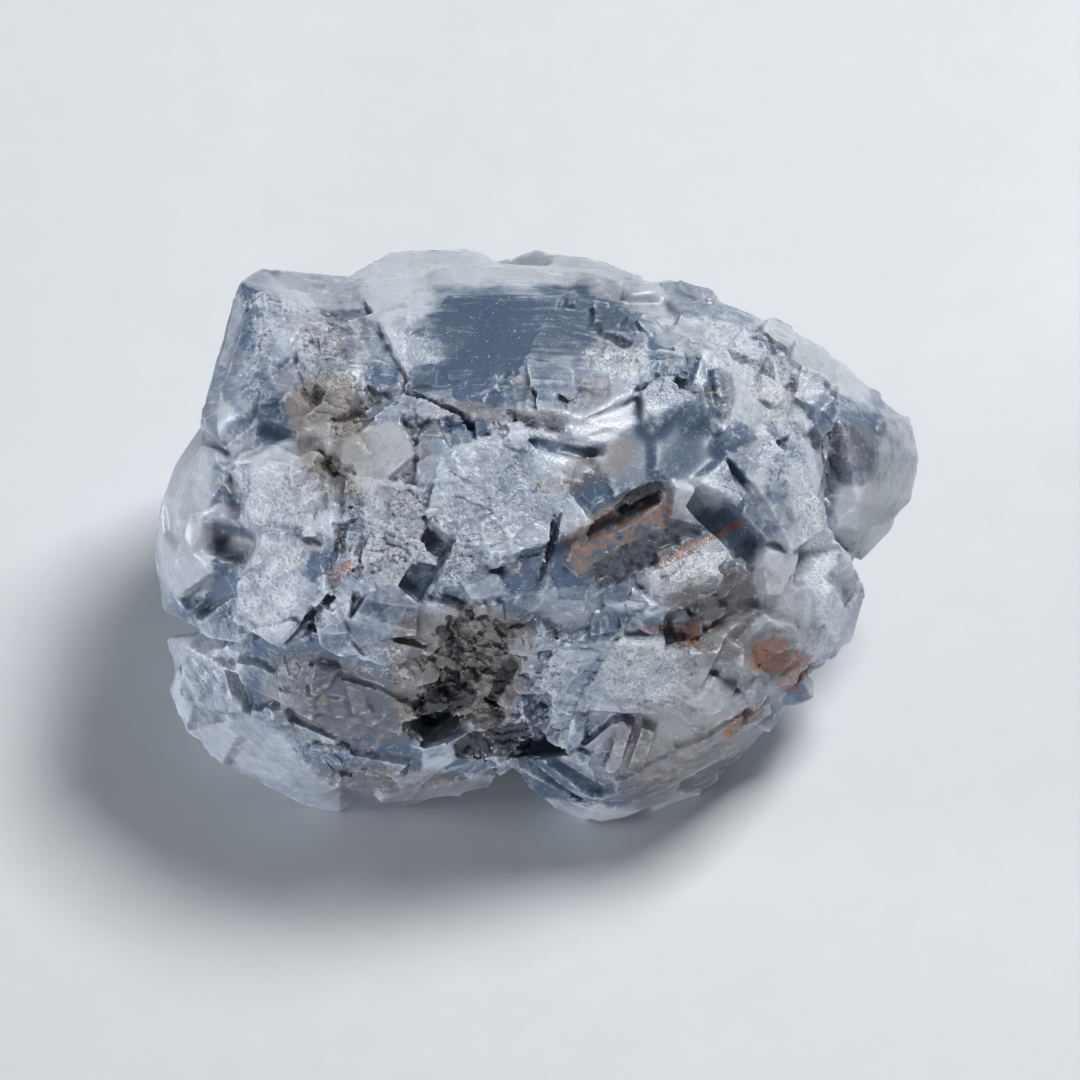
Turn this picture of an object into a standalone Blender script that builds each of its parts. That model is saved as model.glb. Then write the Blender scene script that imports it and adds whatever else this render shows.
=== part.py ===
"""Blue calcite, one broken lump about 70 mm across that rests on a flat broken face.

The lump is laid out in the plane of the view that shows its best side. Every place is
(right, up, out) in millimetres, where out points at the viewer. The finished lump is then
tipped back to the height of that view, and its foot is cut off flat.
"""

import math
import random
from collections import namedtuple

import bmesh
import bpy
from mathutils import Matrix, Vector
from mathutils.bvhtree import BVHTree

NODE = "blue_calcite"
MM = 0.001
VIEW_HEIGHT_DEG = 55
FOOT_DROP = 21.8

# Calcite breaks into blocks whose faces meet at 75 and 105 degrees.
CLEAVAGE_SKEW_DEG = 15

# The great lumps that have grown together, each the smallest solid round its corners.
LUMPS = {
    "left_peak": [
        (-27.4, 23.6, 0), (-25.4, 24.8, -1), (-22.5, 24.0, -2), (-15.0, 23.8, -1),
        (-29.2, 16.0, 3), (-31.0, 10.5, 2), (-24.6, 13.0, 9), (-14.5, 16.0, 9),
        (-17.0, 8.0, 13), (-26.0, 6.0, 9), (-27.0, 19.0, -13), (-20.0, 20.0, -17),
        (-30.0, 6.0, -14), (-16.0, 8.0, -20),
    ],
    "left_bulge": [
        (-30.6, 11.0, -2), (-33.2, 7.0, 0), (-34.8, 3.0, -2), (-35.2, -1.5, -4),
        (-34.4, -6.5, -4), (-31.0, 6.0, 6), (-31.5, -3.0, 6), (-23.0, 7.0, 12),
        (-22.0, -4.0, 13), (-29.0, -9.0, 4), (-12.0, 2.0, 16), (-12.0, -8.0, 15),
        (-32.0, 5.0, -15), (-30.0, -6.0, -17), (-18.0, 4.0, -28), (-12.0, -6.0, -24),
    ],
    "left_foot": [
        (-34.2, -9.0, -5), (-33.2, -14.0, -5), (-31.8, -17.5, -6), (-27.4, -21.6, -7),
        (-22.0, -24.3, -9), (-18.5, -25.6, -10), (-12.5, -24.6, -9), (-6.0, -22.4, -6),
        (-3.0, -20.8, -6), (-29.5, -10.0, 4), (-26.0, -16.0, 2), (-18.0, -20.5, 1),
        (-9.0, -19.5, 2), (-22.0, -8.0, 11), (-12.0, -10.0, 13), (-5.0, -12.0, 9),
        (-28.0, -12.0, -17), (-18.0, -19.0, -14), (-4.0, -14.0, -17), (-14.0, -4.0, -26),
    ],
    "top_slab": [
        (-17.5, 24.0, -2), (-14.6, 26.0, -4), (-12.2, 26.7, -5), (-9.0, 25.9, -4),
        (0.0, 26.8, -6), (5.8, 25.6, -5), (9.4, 24.2, -4), (10.4, 23.0, -2),
        (-14.0, 19.0, 8), (-10.0, 11.0, 13), (0.0, 10.0, 14), (9.0, 14.0, 11),
        (8.0, 20.0, 6), (-4.0, 22.5, 4), (-12.0, 22.0, -15), (6.0, 21.0, -17),
        (-6.0, 10.0, -32), (8.0, 10.0, -29), (-14.0, 10.0, -28),
    ],
    "right_shoulder": [
        (9.6, 23.2, -3), (16.5, 22.3, -4), (21.0, 20.3, -5), (25.8, 17.9, -6),
        (28.4, 15.4, -6), (10.0, 15.0, 11), (17.0, 15.5, 8), (23.0, 12.0, 6),
        (25.0, 4.0, 6), (19.0, 4.0, 11), (10.0, 6.0, 15), (24.0, -4.0, 5),
        (25.0, 12.0, -17), (14.0, 18.0, -18), (26.0, 2.0, -17), (18.0, 6.0, -26),
        (10.0, 8.0, -29),
    ],
    "right_lobe": [
        (27.4, 16.6, -6), (30.4, 14.0, -7), (33.5, 11.2, -8), (35.0, 7.8, -9),
        (34.3, 3.8, -9), (32.2, 1.6, -9), (29.6, -1.2, -8), (27.0, 12.0, 2),
        (30.5, 8.0, 1), (29.0, 3.0, 2), (25.0, 0.0, 0), (30.5, 9.0, -15),
        (30.5, 4.0, -15), (24.0, 2.0, -14),
    ],
    "heart": [
        (-25.0, 9.0, 8), (-23.0, -8.0, 8), (-14.0, -16.0, 5), (0.0, -17.0, 5),
        (14.0, -13.0, 6), (22.0, -3.0, 5), (22.0, 8.0, 6), (16.0, 16.0, 5),
        (0.0, 19.0, 5), (-14.0, 18.0, 6), (-14.0, 9.0, 14), (-4.0, 9.0, 15.5),
        (4.0, 6.0, 16), (-13.0, -3.0, 16.5), (-4.0, -5.0, 17), (4.0, -4.0, 15.5),
        (11.0, 5.0, 14), (-25.0, 0.0, -20), (-14.0, -9.0, -22), (12.0, -9.0, -21),
        (-12.0, 0.0, -29), (11.0, -1.0, -28), (21.0, 2.0, -18), (17.0, 14.0, -16),
        (0.0, 18.0, -22), (-17.0, 15.0, -18), (-10.0, 9.0, -34), (9.0, 9.0, -33),
    ],
    "right_foot": [
        (28.6, -1.0, -5), (29.2, -5.4, -6), (28.4, -8.0, -6), (27.4, -11.0, -7),
        (24.0, -14.2, -8), (18.8, -19.4, -9), (16.0, -22.4, -10), (9.4, -26.0, -11),
        (6.0, -26.7, -11), (3.6, -25.6, -10), (-1.2, -21.6, -6), (25.5, -2.0, 4),
        (23.0, -10.0, 3), (15.0, -17.0, 3), (6.0, -22.5, 0), (0.0, -18.5, 1),
        (14.0, 0.0, 12), (15.0, -10.0, 8), (3.0, -12.0, 9), (2.0, -2.0, 14),
        (24.0, -7.0, -16), (13.0, -17.0, -17), (4.0, -20.0, -16), (14.0, -4.0, -24),
        (0.0, -10.0, -20),
    ],
}

# A block or a cut is set on the lump's own slope. face_right and face_up turn its face from
# that slope, in degrees, and turn spins it in its own plane.
Block = namedtuple("Block", "right up proud length width turn face_right face_up deep")

FRONT_BLOCKS = {
    "peak_face": Block(-25.2, 17.0, 0.5, 5.6, 13.0, -5, -4, -4, 9),
    "peak_rough": Block(-19.6, 17.4, 0.3, 5.0, 9.0, 8, 6, 6, 8),
    "pale_hexagon": Block(-13.4, 17.0, 0.9, 9.0, 8.6, 32, 3, 2, 8),
    "lens": Block(-22.0, 7.8, 1.5, 9.4, 3.6, 26, 0, -4, 7),
    "left_table": Block(-22.4, 3.4, 1.6, 8.4, 6.2, -8, 4, 6, 8),
    "left_wedge": Block(-17.8, 3.4, 0.4, 3.6, 7.0, -22, 10, 0, 7),
    "amber_wedge": Block(-14.2, 8.0, 0.7, 5.6, 5.0, 42, 8, -8, 7),
    "rough_table": Block(-13.6, 0.2, 1.3, 7.2, 9.4, -12, 2, 4, 8),
    "frosted_table": Block(-23.4, -4.4, 1.5, 7.0, 10.0, -14, -4, 0, 9),
    "frosted_step": Block(-18.4, -5.6, 0.9, 3.6, 9.0, -26, 2, 0, 8),
    "bulge_upper": Block(-30.2, 4.6, 0.4, 6.4, 7.4, -22, 0, 0, 8),
    "bulge_lower": Block(-31.2, -3.2, 0.5, 5.6, 8.0, -30, 0, -4, 8),
    "bulge_cap": Block(-27.6, -7.0, 0.7, 4.6, 7.0, -36, 0, 4, 8),
    "foot_face": Block(-29.8, -12.8, 0.8, 6.6, 6.6, 4, 0, 0, 8),
    "foot_rib_a": Block(-23.8, -13.0, 0.7, 8.0, 3.0, -24, 0, 6, 7),
    "foot_rib_b": Block(-22.6, -17.0, 0.6, 9.4, 3.0, -28, 0, 0, 7),
    "foot_rib_c": Block(-17.0, -20.0, 0.5, 9.0, 2.6, -18, 0, -4, 7),
    "blue_triangle": Block(-13.2, -8.0, 1.0, 8.4, 7.0, 58, 0, 0, 8),
    "blue_triangle_low": Block(-9.2, -10.6, 0.4, 5.0, 4.2, 20, 4, 0, 6),
    "smoky_table": Block(-16.6, -14.4, 0.5, 11.0, 5.2, -18, 0, 0, 7),
    "smoky_ledge": Block(-11.0, -16.6, 0.7, 7.4, 2.6, -30, 0, 6, 6),
    "white_knob": Block(-7.6, -1.8, 2.0, 4.4, 4.2, 36, 6, -6, 6),
    "white_knob_low": Block(-5.4, -3.6, 1.2, 3.2, 3.0, 12, 8, -10, 6),
    "small_chip": Block(-10.0, -4.4, 0.5, 2.8, 2.2, -22, 0, 0, 5),
    "sugar_face": Block(-4.2, 3.6, 0.8, 12.0, 11.0, 22, 2, 0, 9),
    "sugar_step": Block(-9.0, 5.6, 0.9, 4.2, 8.0, 40, -4, 0, 7),
    "slab_left": Block(-5.6, 16.6, 0.2, 10.6, 15.0, -4, 0, 0, 9),
    "slab_right": Block(4.6, 16.8, 0.7, 10.4, 15.4, -4, 0, 2, 9),
    "slab_far": Block(12.8, 18.4, 0.4, 8.6, 8.8, -12, 0, 0, 8),
    "slab_rim": Block(-2.0, 24.2, 0.6, 16.0, 2.6, 2, 0, 6, 6),
    "chip_band": Block(8.8, 15.0, 1.2, 6.6, 3.8, -8, 0, 0, 6),
    "pale_knob": Block(5.0, 10.8, 1.6, 6.4, 4.0, 26, 0, -4, 6),
    "pale_knob_right": Block(10.6, 12.0, 1.0, 3.6, 4.6, -32, 0, 0, 6),
    "slate_face": Block(9.8, 7.6, 0.8, 11.0, 5.6, 22, 0, -2, 8),
    "twin_knob_left": Block(13.2, 3.4, 1.2, 4.0, 3.0, -24, 0, -6, 6),
    "twin_knob_right": Block(15.8, 4.6, 1.6, 3.0, 3.4, 30, 0, 0, 6),
    "blue_sail": Block(21.2, 4.6, 1.4, 10.8, 4.6, -43, 2, 2, 8),
    "shoulder_a": Block(17.0, 12.0, 0.6, 8.6, 6.0, -38, 0, 0, 8),
    "shoulder_b": Block(22.4, 13.4, 0.7, 7.6, 5.4, -44, 0, 0, 8),
    "shoulder_c": Block(22.0, 8.2, 0.6, 4.6, 6.4, -20, 0, 0, 7),
    "white_ridge": Block(25.4, -0.4, 1.4, 3.0, 15.0, 12, 14, 0, 8),
    "white_ridge_low": Block(26.4, -6.6, 0.9, 2.6, 8.6, 8, 10, 0, 7),
    "rusty_face": Block(7.4, 0.4, -0.2, 11.4, 7.6, 24, 0, 4, 7),
    "white_ledge": Block(13.4, -2.4, 1.7, 9.0, 3.6, 24, 0, -8, 7),
    "white_ledge_right": Block(19.8, -2.6, 1.2, 5.6, 4.0, -14, 0, -4, 7),
    "square_table": Block(9.6, -11.6, 2.2, 9.8, 7.6, -10, -2, 0, 8),
    "square_table_side": Block(15.4, -14.6, 1.2, 5.4, 4.2, 16, 0, 0, 7),
    "blade": Block(1.6, -12.4, 2.4, 4.0, 9.8, -12, -22, 0, 8),
    "blade_back": Block(-1.6, -9.8, 1.4, 3.0, 5.2, 14, -10, 0, 6),
    "brown_face": Block(19.4, -11.0, 0.4, 8.4, 6.4, 36, 0, 0, 8),
    "keel_face": Block(12.6, -20.2, 0.6, 13.0, 5.2, 30, 0, 0, 8),
    "rib_1": Block(3.4, -17.2, 1.5, 1.3, 5.4, -34, 0, 0, 6),
    "rib_2": Block(5.2, -17.8, 1.2, 1.3, 5.4, -34, 0, 0, 6),
    "rib_3": Block(7.0, -18.2, 1.5, 1.4, 5.4, -34, 0, 0, 6),
    "rib_4": Block(9.0, -18.6, 1.1, 1.5, 5.0, -34, 0, 0, 6),
    "long_ledge_a": Block(1.8, -20.4, 1.3, 11.0, 1.5, -41, 0, 0, 6),
    "long_ledge_b": Block(0.4, -21.4, 0.9, 11.0, 1.5, -41, 0, -8, 6),
    "foot_lip": Block(-9.6, -22.6, 0.6, 10.4, 3.0, 12, 0, 0, 6),
}

# Where the front is crumbly, small broken bits stand close together.
Crumbs = namedtuple("Crumbs", "right up spread count")

CRUMBLY_ZONES = {
    "brown_cavity": Crumbs(-5.6, -11.4, 5.2, 16),
    "frosted_shoulder": Crumbs(19.6, 12.6, 6.6, 13),
    "chipped_rim": Crumbs(7.0, 19.6, 4.4, 6),
    "rusty_ledge": Crumbs(12.6, -5.0, 5.6, 9),
    "left_column": Crumbs(-20.4, 10.6, 4.6, 9),
    "brown_corner": Crumbs(20.6, -11.6, 5.4, 8),
    "left_heel": Crumbs(-21.0, -16.4, 6.0, 8),
    "dark_gap": Crumbs(-17.6, 0.4, 3.0, 5),
}
CRUMB_SIZE = (1.3, 3.2)
CRUMB_PROUD = (0.2, 1.1)
CRUMB_DEPTH = 3
CRUMB_TILT_DEG = 20

# A cut's deep is how far its floor lies under the lump's surface; its proud is not used.
FRONT_CUTS = {
    "peak_window": Block(-23.4, 11.0, 0, 5.2, 3.8, 12, 6, 0, 0.7),
    "slab_crack": Block(-9.4, 11.6, 0, 8.4, 0.6, -38, 0, 0, 1.3),
    "bulge_window": Block(-29.6, -4.8, 0, 2.6, 5.4, -32, 0, 0, 0.6),
    "hollow_window": Block(-27.6, -0.4, 0, 4.2, 2.6, -12, 0, 8, 0.8),
    "frost_crack": Block(-20.6, -6.4, 0, 0.6, 7.4, -26, 0, 0, 1.2),
    "knob_hollow": Block(-10.6, -2.2, 0, 2.4, 5.4, -40, 8, 0, 0.8),
    "foot_notch": Block(-27.0, -13.6, 0, 1.2, 4.4, 2, 0, 0, 1.0),
    "sail_shadow": Block(16.6, 1.4, 0, 9.0, 3.2, -42, 0, 0, 0.8),
    "cavity": Block(-5.8, -8.8, 0, 4.4, 5.4, -26, -6, 0, 2.4),
    "cavity_side": Block(-3.2, -11.4, 0, 3.6, 4.8, 22, 8, 0, 1.9),
    "cavity_step": Block(-7.6, -12.4, 0, 4.6, 3.4, 48, 0, 8, 2.9),
    "cavity_low": Block(-6.4, -16.4, 0, 8.6, 3.4, 26, 0, 6, 4.2),
    "cavity_mouth": Block(-3.0, -18.2, 0, 5.4, 3.6, -18, 0, 0, 3.0),
    "rust_slot": Block(7.4, 2.2, 0, 7.0, 1.6, 24, 0, 8, 1.6),
    "ledge_shadow": Block(15.8, -6.6, 0, 10.0, 4.0, 22, 0, 0, 1.3),
    "sugar_crack": Block(0.6, -1.0, 0, 0.5, 6.6, -17, 0, 0, 0.7),
    "knob_shadow": Block(2.2, 8.0, 0, 6.0, 1.1, -12, 0, 0, 1.0),
    "lobe_crack": Block(25.6, 9.0, 0, 0.5, 5.6, 12, 0, 0, 0.5),
    "under_blade": Block(-0.6, -15.4, 0, 2.0, 5.0, -14, 0, 0, 2.2),
}

GRAIN_COUNT = 12
GRAIN_SEED = 5
FRONT_SEED = 21
SIDE_BLOCK_COUNT = 72
SIDE_CUT_COUNT = 45
SIDE_BLOCK_SIZE = (4.0, 9.5)
SIDE_CUT_SIZE = (2.5, 6.5)
SIDE_CUT_DEPTH = (0.4, 1.3)
SIDE_BLOCK_PROUD = (-0.2, 0.7)

# The lobe at the right is smooth and clear, so no side cut reaches into it.
LOBE_MIDDLE = (30.0, 7.0)
LOBE_REACH = 8
SIDE_BLOCK_DEPTH = 6
SIDE_BLOCK_MAX_PROUD = 0.7
FRONT_BLOCK_MAX_PROUD = 1.7
BROKEN_CORNER = (0.2, 0.5)
WALL_SPREAD = 0.55
TILT_SCATTER_DEG = 5
CUT_REACH = 5
RAY_START = 90
FLAT_WITHIN_DEG = 1.2


def mesh_object(name, bm):
    """A new object in the scene that takes over the edit mesh."""
    bmesh.ops.recalc_face_normals(bm, faces=bm.faces)
    mesh = bpy.data.meshes.new(name)
    bm.to_mesh(mesh)
    bm.free()
    made = bpy.data.objects.new(name, mesh)
    bpy.context.scene.collection.objects.link(made)
    return made


def hull(name, corners):
    """The smallest solid round the corners."""
    bm = bmesh.new()
    for corner in corners:
        bm.verts.new(corner)
    made = bmesh.ops.convex_hull(bm, input=bm.verts)
    loose = {g for g in made["geom_interior"] + made["geom_unused"] if g.is_valid}
    loose = [g for g in loose if isinstance(g, bmesh.types.BMVert)]
    bmesh.ops.delete(bm, geom=loose)
    return mesh_object(name, bm)


def grown(corners, by):
    """The corners moved outwards from their middle."""
    middle = sum((Vector(c) for c in corners), Vector()) / len(corners)
    return [Vector(c) + (Vector(c) - middle).normalized() * by for c in corners]


def joined_lumps(name, by=0.0):
    """All the lumps as one solid, each grown by this much."""
    lumps = [hull(f"{name}_{key}", grown(corners, by)) for key, corners in LUMPS.items()]
    body = lumps.pop()
    body.name = name
    combine(body, lumps, "UNION")
    return body


def outline_of_block(dice):
    """A square with one or two of its corners broken off, from -0.5 to 0.5 both ways."""
    square = [(-0.5, -0.5), (0.5, -0.5), (0.5, 0.5), (-0.5, 0.5)]
    broken = dice.sample(range(4), dice.choice((0, 1, 1, 2)))
    outline = []
    for i, (a, b) in enumerate(square):
        if i not in broken:
            outline.append((a, b))
            continue
        for near in (square[i - 1], square[(i + 1) % 4]):
            share = dice.uniform(*BROKEN_CORNER)
            outline.append((a + (near[0] - a) * share, b + (near[1] - b) * share))
    return outline


def rhomb(name, top_centre, axes, size, depth, dice):
    """A cleavage block: its two faces are skewed, and its walls lean with them."""
    along, across, outward = axes
    length, width = size
    skew = math.tan(math.radians(CLEAVAGE_SKEW_DEG))
    side = across + along * (skew * dice.choice((-1, 1)))
    lean = (along * dice.choice((-1, 1)) + across * dice.choice((-1, 1))) * (skew * 0.5)
    outline = outline_of_block(dice)
    bm = bmesh.new()
    rings = []
    for level in (0.0, depth):
        spread = 1 + WALL_SPREAD * level / max(length, width)
        middle = top_centre - outward * level + lean * level
        rings.append([
            bm.verts.new(middle + (along * (length * a) + side * (width * b)) * spread)
            for a, b in outline
        ])
    top, foot = rings
    bm.faces.new(top)
    bm.faces.new(foot[::-1])
    for i in range(len(outline)):
        j = (i + 1) % len(outline)
        bm.faces.new((top[i], foot[i], foot[j], top[j]))
    return mesh_object(name, bm)


def surface_tree(body):
    """What finds the surface of the lumps along a ray."""
    bm = bmesh.new()
    bm.from_mesh(body.data)
    bmesh.ops.triangulate(bm, faces=bm.faces)
    tree = BVHTree.FromBMesh(bm)
    bm.free()
    return tree


def slope_at(tree, right, up, reach):
    """How far out the surface is at a place of the front, and which way it faces there."""
    steps = (-0.35, 0.0, 0.35)
    normal, outs = Vector(), []
    for i in steps:
        for j in steps:
            start = Vector((right + i * reach, up + j * reach, RAY_START))
            spot, facing, _, _ = tree.ray_cast(start, Vector((0, 0, -1)))
            if spot is not None:
                normal += facing
                outs.append(spot.z)
    spot = tree.ray_cast(Vector((right, up, RAY_START)), Vector((0, 0, -1)))[0]
    middle = spot.z if spot is not None else sum(outs) / len(outs)
    return middle, normal.normalized()


def front_axes(normal, block, dice):
    """The block's own directions: along, across and outward."""
    scatter = [dice.uniform(-TILT_SCATTER_DEG, TILT_SCATTER_DEG) for _ in range(2)]
    tilt = Matrix.Rotation(math.radians(block.face_right + scatter[0]), 3, "Y")
    tilt = tilt @ Matrix.Rotation(math.radians(-block.face_up + scatter[1]), 3, "X")
    outward = (tilt @ normal).normalized()
    turned = Matrix.Rotation(math.radians(block.turn), 3, "Z") @ Vector((1, 0, 0))
    along = (turned - outward * turned.dot(outward)).normalized()
    return along, outward.cross(along), outward


def front_block(tree, name, block, dice):
    reach = (block.length + block.width) / 2
    out, normal = slope_at(tree, block.right, block.up, reach)
    axes = front_axes(normal, block, dice)
    top = Vector((block.right, block.up, out)) + axes[2] * block.proud
    return rhomb(name, top, axes, (block.length, block.width), block.deep, dice)


def crumbs(tree, dice):
    """The small broken bits of the crumbly zones."""
    made = []
    for name, zone in CRUMBLY_ZONES.items():
        for i in range(zone.count):
            heading = dice.uniform(0, math.tau)
            away = zone.spread * math.sqrt(dice.uniform(0, 1))
            bit = Block(
                right=zone.right + away * math.cos(heading),
                up=zone.up + away * math.sin(heading),
                proud=dice.uniform(*CRUMB_PROUD),
                length=dice.uniform(*CRUMB_SIZE),
                width=dice.uniform(*CRUMB_SIZE),
                turn=dice.uniform(0, 180),
                face_right=dice.uniform(-CRUMB_TILT_DEG, CRUMB_TILT_DEG),
                face_up=dice.uniform(-CRUMB_TILT_DEG, CRUMB_TILT_DEG),
                deep=CRUMB_DEPTH,
            )
            made.append(front_block(tree, f"{name}_{i}", bit, dice))
    return made


def front_cut(tree, name, block, dice):
    """A cutter that reaches from well outside the surface down to the cut's floor."""
    reach = (block.length + block.width) / 2
    out, normal = slope_at(tree, block.right, block.up, reach)
    along, across, outward = front_axes(normal, block, dice)
    floor = Vector((block.right, block.up, out)) - outward * block.deep
    axes = (along, -across, -outward)
    return rhomb(name, floor, axes, (block.length, block.width), block.deep + CUT_REACH, dice)


def grains(dice):
    """Centres and turns of the crystal grains: blocks in one grain break parallel."""
    made = []
    for _ in range(GRAIN_COUNT):
        centre = Vector((dice.uniform(-32, 32), dice.uniform(-22, 24), dice.uniform(-30, 8)))
        turn = Matrix.Rotation(dice.uniform(0, math.tau), 3, "Z")
        turn = turn @ Matrix.Rotation(dice.uniform(0, math.pi), 3, "X")
        made.append((centre, turn @ Matrix.Rotation(dice.uniform(0, math.tau), 3, "Z")))
    return made


def side_spots(tree, dice, count):
    """Places spread over the sides and the back, with the way the surface faces there."""
    found = []
    centre = Vector((0, 0, -8))
    while len(found) < count:
        height = dice.uniform(-1, 0.55)
        angle = dice.uniform(0, math.tau)
        ring = math.sqrt(1 - height * height)
        heading = Vector((ring * math.cos(angle), ring * math.sin(angle), height))
        spot, facing, _, _ = tree.ray_cast(centre + heading * RAY_START, -heading)
        if spot is None:
            continue
        if facing.z > 0.5:
            continue
        found.append((spot, facing))
    return found


def grain_axes(grain_list, spot, facing):
    """The nearest grain's own axes, with the one that faces most like the surface last."""
    turn = min(grain_list, key=lambda grain: (grain[0] - spot).length)[1]
    axes = [turn.col[i].copy() for i in range(3)]
    axes.sort(key=lambda axis: abs(axis.dot(facing)))
    outward = axes[2] if axes[2].dot(facing) > 0 else -axes[2]
    outward = (outward + facing * 0.8).normalized()
    along = (axes[0] - outward * axes[0].dot(outward)).normalized()
    return along, outward.cross(along), outward


def side_pieces(tree, dice, grain_list):
    """Blocks and cuts over the sides and the back."""
    blocks, cuts = [], []
    for i, (spot, facing) in enumerate(side_spots(tree, dice, SIDE_BLOCK_COUNT)):
        axes = grain_axes(grain_list, spot, facing)
        size = [dice.uniform(*SIDE_BLOCK_SIZE) for _ in range(2)]
        top = spot + axes[2] * dice.uniform(*SIDE_BLOCK_PROUD)
        blocks.append(rhomb(f"side_block_{i}", top, axes, size, SIDE_BLOCK_DEPTH, dice))
    for i, (spot, facing) in enumerate(side_spots(tree, dice, SIDE_CUT_COUNT)):
        along, across, outward = grain_axes(grain_list, spot, facing)
        size = [dice.uniform(*SIDE_CUT_SIZE) for _ in range(2)]
        depth = dice.uniform(*SIDE_CUT_DEPTH)
        floor = spot - outward * depth
        axes = (along, -across, -outward)
        cutter = rhomb(f"side_cut_{i}", floor, axes, size, depth + CUT_REACH, dice)
        if (spot.xy - Vector(LOBE_MIDDLE)).length < LOBE_REACH:
            bpy.data.objects.remove(cutter)
            continue
        cuts.append(cutter)
    return blocks, cuts


def combine(body, others, operation):
    """Joins the others to the body, or cuts them from it, and removes them."""
    group = bpy.data.collections.new("operands")
    for other in others:
        group.objects.link(other)
    modifier = body.modifiers.new(operation.lower(), "BOOLEAN")
    modifier.operation = operation
    modifier.solver = "EXACT"
    modifier.operand_type = "COLLECTION"
    modifier.collection = group
    graph = bpy.context.evaluated_depsgraph_get()
    mesh = bpy.data.meshes.new_from_object(body.evaluated_get(graph))
    body.modifiers.clear()
    body.data = mesh
    for other in others:
        bpy.data.objects.remove(other)
    bpy.data.collections.remove(group)


def without_crumbs(bm):
    """Leaves only the greatest connected part."""
    left = set(bm.verts)
    parts = []
    while left:
        found, edge = set(), [left.pop()]
        while edge:
            vert = edge.pop()
            found.add(vert)
            near = {e.other_vert(vert) for e in vert.link_edges} & left
            left -= near
            edge.extend(near)
        parts.append(found)
    greatest = max(parts, key=len)
    bmesh.ops.delete(bm, geom=[v for v in bm.verts if v not in greatest], context="VERTS")


def tidy(body):
    """Takes out the crumbs, and the edges that joining leaves across flat faces."""
    bm = bmesh.new()
    bm.from_mesh(body.data)
    without_crumbs(bm)
    bmesh.ops.dissolve_limit(
        bm, angle_limit=math.radians(FLAT_WITHIN_DEG), verts=bm.verts, edges=bm.edges
    )
    bmesh.ops.triangulate(bm, faces=bm.faces)
    bmesh.ops.recalc_face_normals(bm, faces=bm.faces)
    bm.to_mesh(body.data)
    bm.free()


def foot_cutter():
    """A slab, already in the tipped frame, whose top is the plane that the lump rests on."""
    bm = bmesh.new()
    bmesh.ops.create_cube(bm, size=1)
    bmesh.ops.scale(bm, vec=(200, 200, 60), verts=bm.verts)
    bmesh.ops.translate(bm, vec=(0, 0, -30 - FOOT_DROP), verts=bm.verts)
    return mesh_object("foot_cutter", bm)


def stand_up(body):
    """Tips the lump back to the height of the view, cuts its foot flat and sets it on z = 0."""
    body.data.transform(Matrix.Rotation(math.radians(90 - VIEW_HEIGHT_DEG), 4, "X"))
    combine(body, [foot_cutter()], "DIFFERENCE")
    tidy(body)
    corners = [v.co for v in body.data.vertices]
    middle_x = (min(c.x for c in corners) + max(c.x for c in corners)) / 2
    middle_y = (min(c.y for c in corners) + max(c.y for c in corners)) / 2
    body.data.transform(Matrix.Translation((-middle_x, -middle_y, FOOT_DROP)))
    body.data.transform(Matrix.Scale(MM, 4))


def calcite_finish():
    """Pale slate blue, waxy rather than glassy where it is broken."""
    material = bpy.data.materials.new("blue_calcite")
    material.use_nodes = True
    shader = material.node_tree.nodes["Principled BSDF"]
    shader.inputs["Base Color"].default_value = (0.33, 0.42, 0.53, 1)
    shader.inputs["Roughness"].default_value = 0.4
    shader.inputs["Metallic"].default_value = 0
    return material


def main():
    for old in list(bpy.data.objects):
        bpy.data.objects.remove(old)
    body = joined_lumps(NODE)
    tree = surface_tree(body)

    dice = random.Random(GRAIN_SEED)
    grain_list = grains(dice)
    blocks, cuts = side_pieces(tree, dice, grain_list)
    combine(body, blocks, "UNION")
    combine(body, [joined_lumps("envelope", SIDE_BLOCK_MAX_PROUD)], "INTERSECT")
    dice = random.Random(FRONT_SEED)
    blocks = [front_block(tree, name, b, dice) for name, b in FRONT_BLOCKS.items()]
    combine(body, blocks, "UNION")
    combine(body, [joined_lumps("envelope", FRONT_BLOCK_MAX_PROUD)], "INTERSECT")
    cuts += [front_cut(tree, name, b, dice) for name, b in FRONT_CUTS.items()]
    combine(body, cuts, "DIFFERENCE")
    combine(body, crumbs(surface_tree(body), dice), "UNION")
    stand_up(body)
    body.data.materials.append(calcite_finish())


main()
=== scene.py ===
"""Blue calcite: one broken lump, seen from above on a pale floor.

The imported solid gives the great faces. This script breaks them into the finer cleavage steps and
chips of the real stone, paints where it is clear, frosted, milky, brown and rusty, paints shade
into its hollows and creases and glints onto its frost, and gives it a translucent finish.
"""

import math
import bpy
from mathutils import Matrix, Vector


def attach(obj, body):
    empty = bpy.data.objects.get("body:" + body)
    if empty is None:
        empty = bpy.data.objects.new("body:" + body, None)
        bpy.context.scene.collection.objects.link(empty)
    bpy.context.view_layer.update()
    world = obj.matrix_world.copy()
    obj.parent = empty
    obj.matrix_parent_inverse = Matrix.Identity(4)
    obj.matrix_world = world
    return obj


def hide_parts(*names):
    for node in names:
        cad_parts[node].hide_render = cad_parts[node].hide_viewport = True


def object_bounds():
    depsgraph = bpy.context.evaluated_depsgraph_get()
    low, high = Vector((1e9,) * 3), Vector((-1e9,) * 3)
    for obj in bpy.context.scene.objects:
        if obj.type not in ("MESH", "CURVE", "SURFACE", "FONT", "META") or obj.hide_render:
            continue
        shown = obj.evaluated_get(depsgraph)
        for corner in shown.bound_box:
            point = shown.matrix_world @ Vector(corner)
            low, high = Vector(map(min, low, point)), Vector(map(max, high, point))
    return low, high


bl_info = {
    "name": "Blue calcite lump",
    "version": (1, 0, 0),
    "blender": (4, 5, 0),
    "location": "View3D > Sidebar > Calcite",
    "description": "Builds the skin, finish and stage of a lump of blue calcite",
    "category": "Add Mesh",
}

import time

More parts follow.
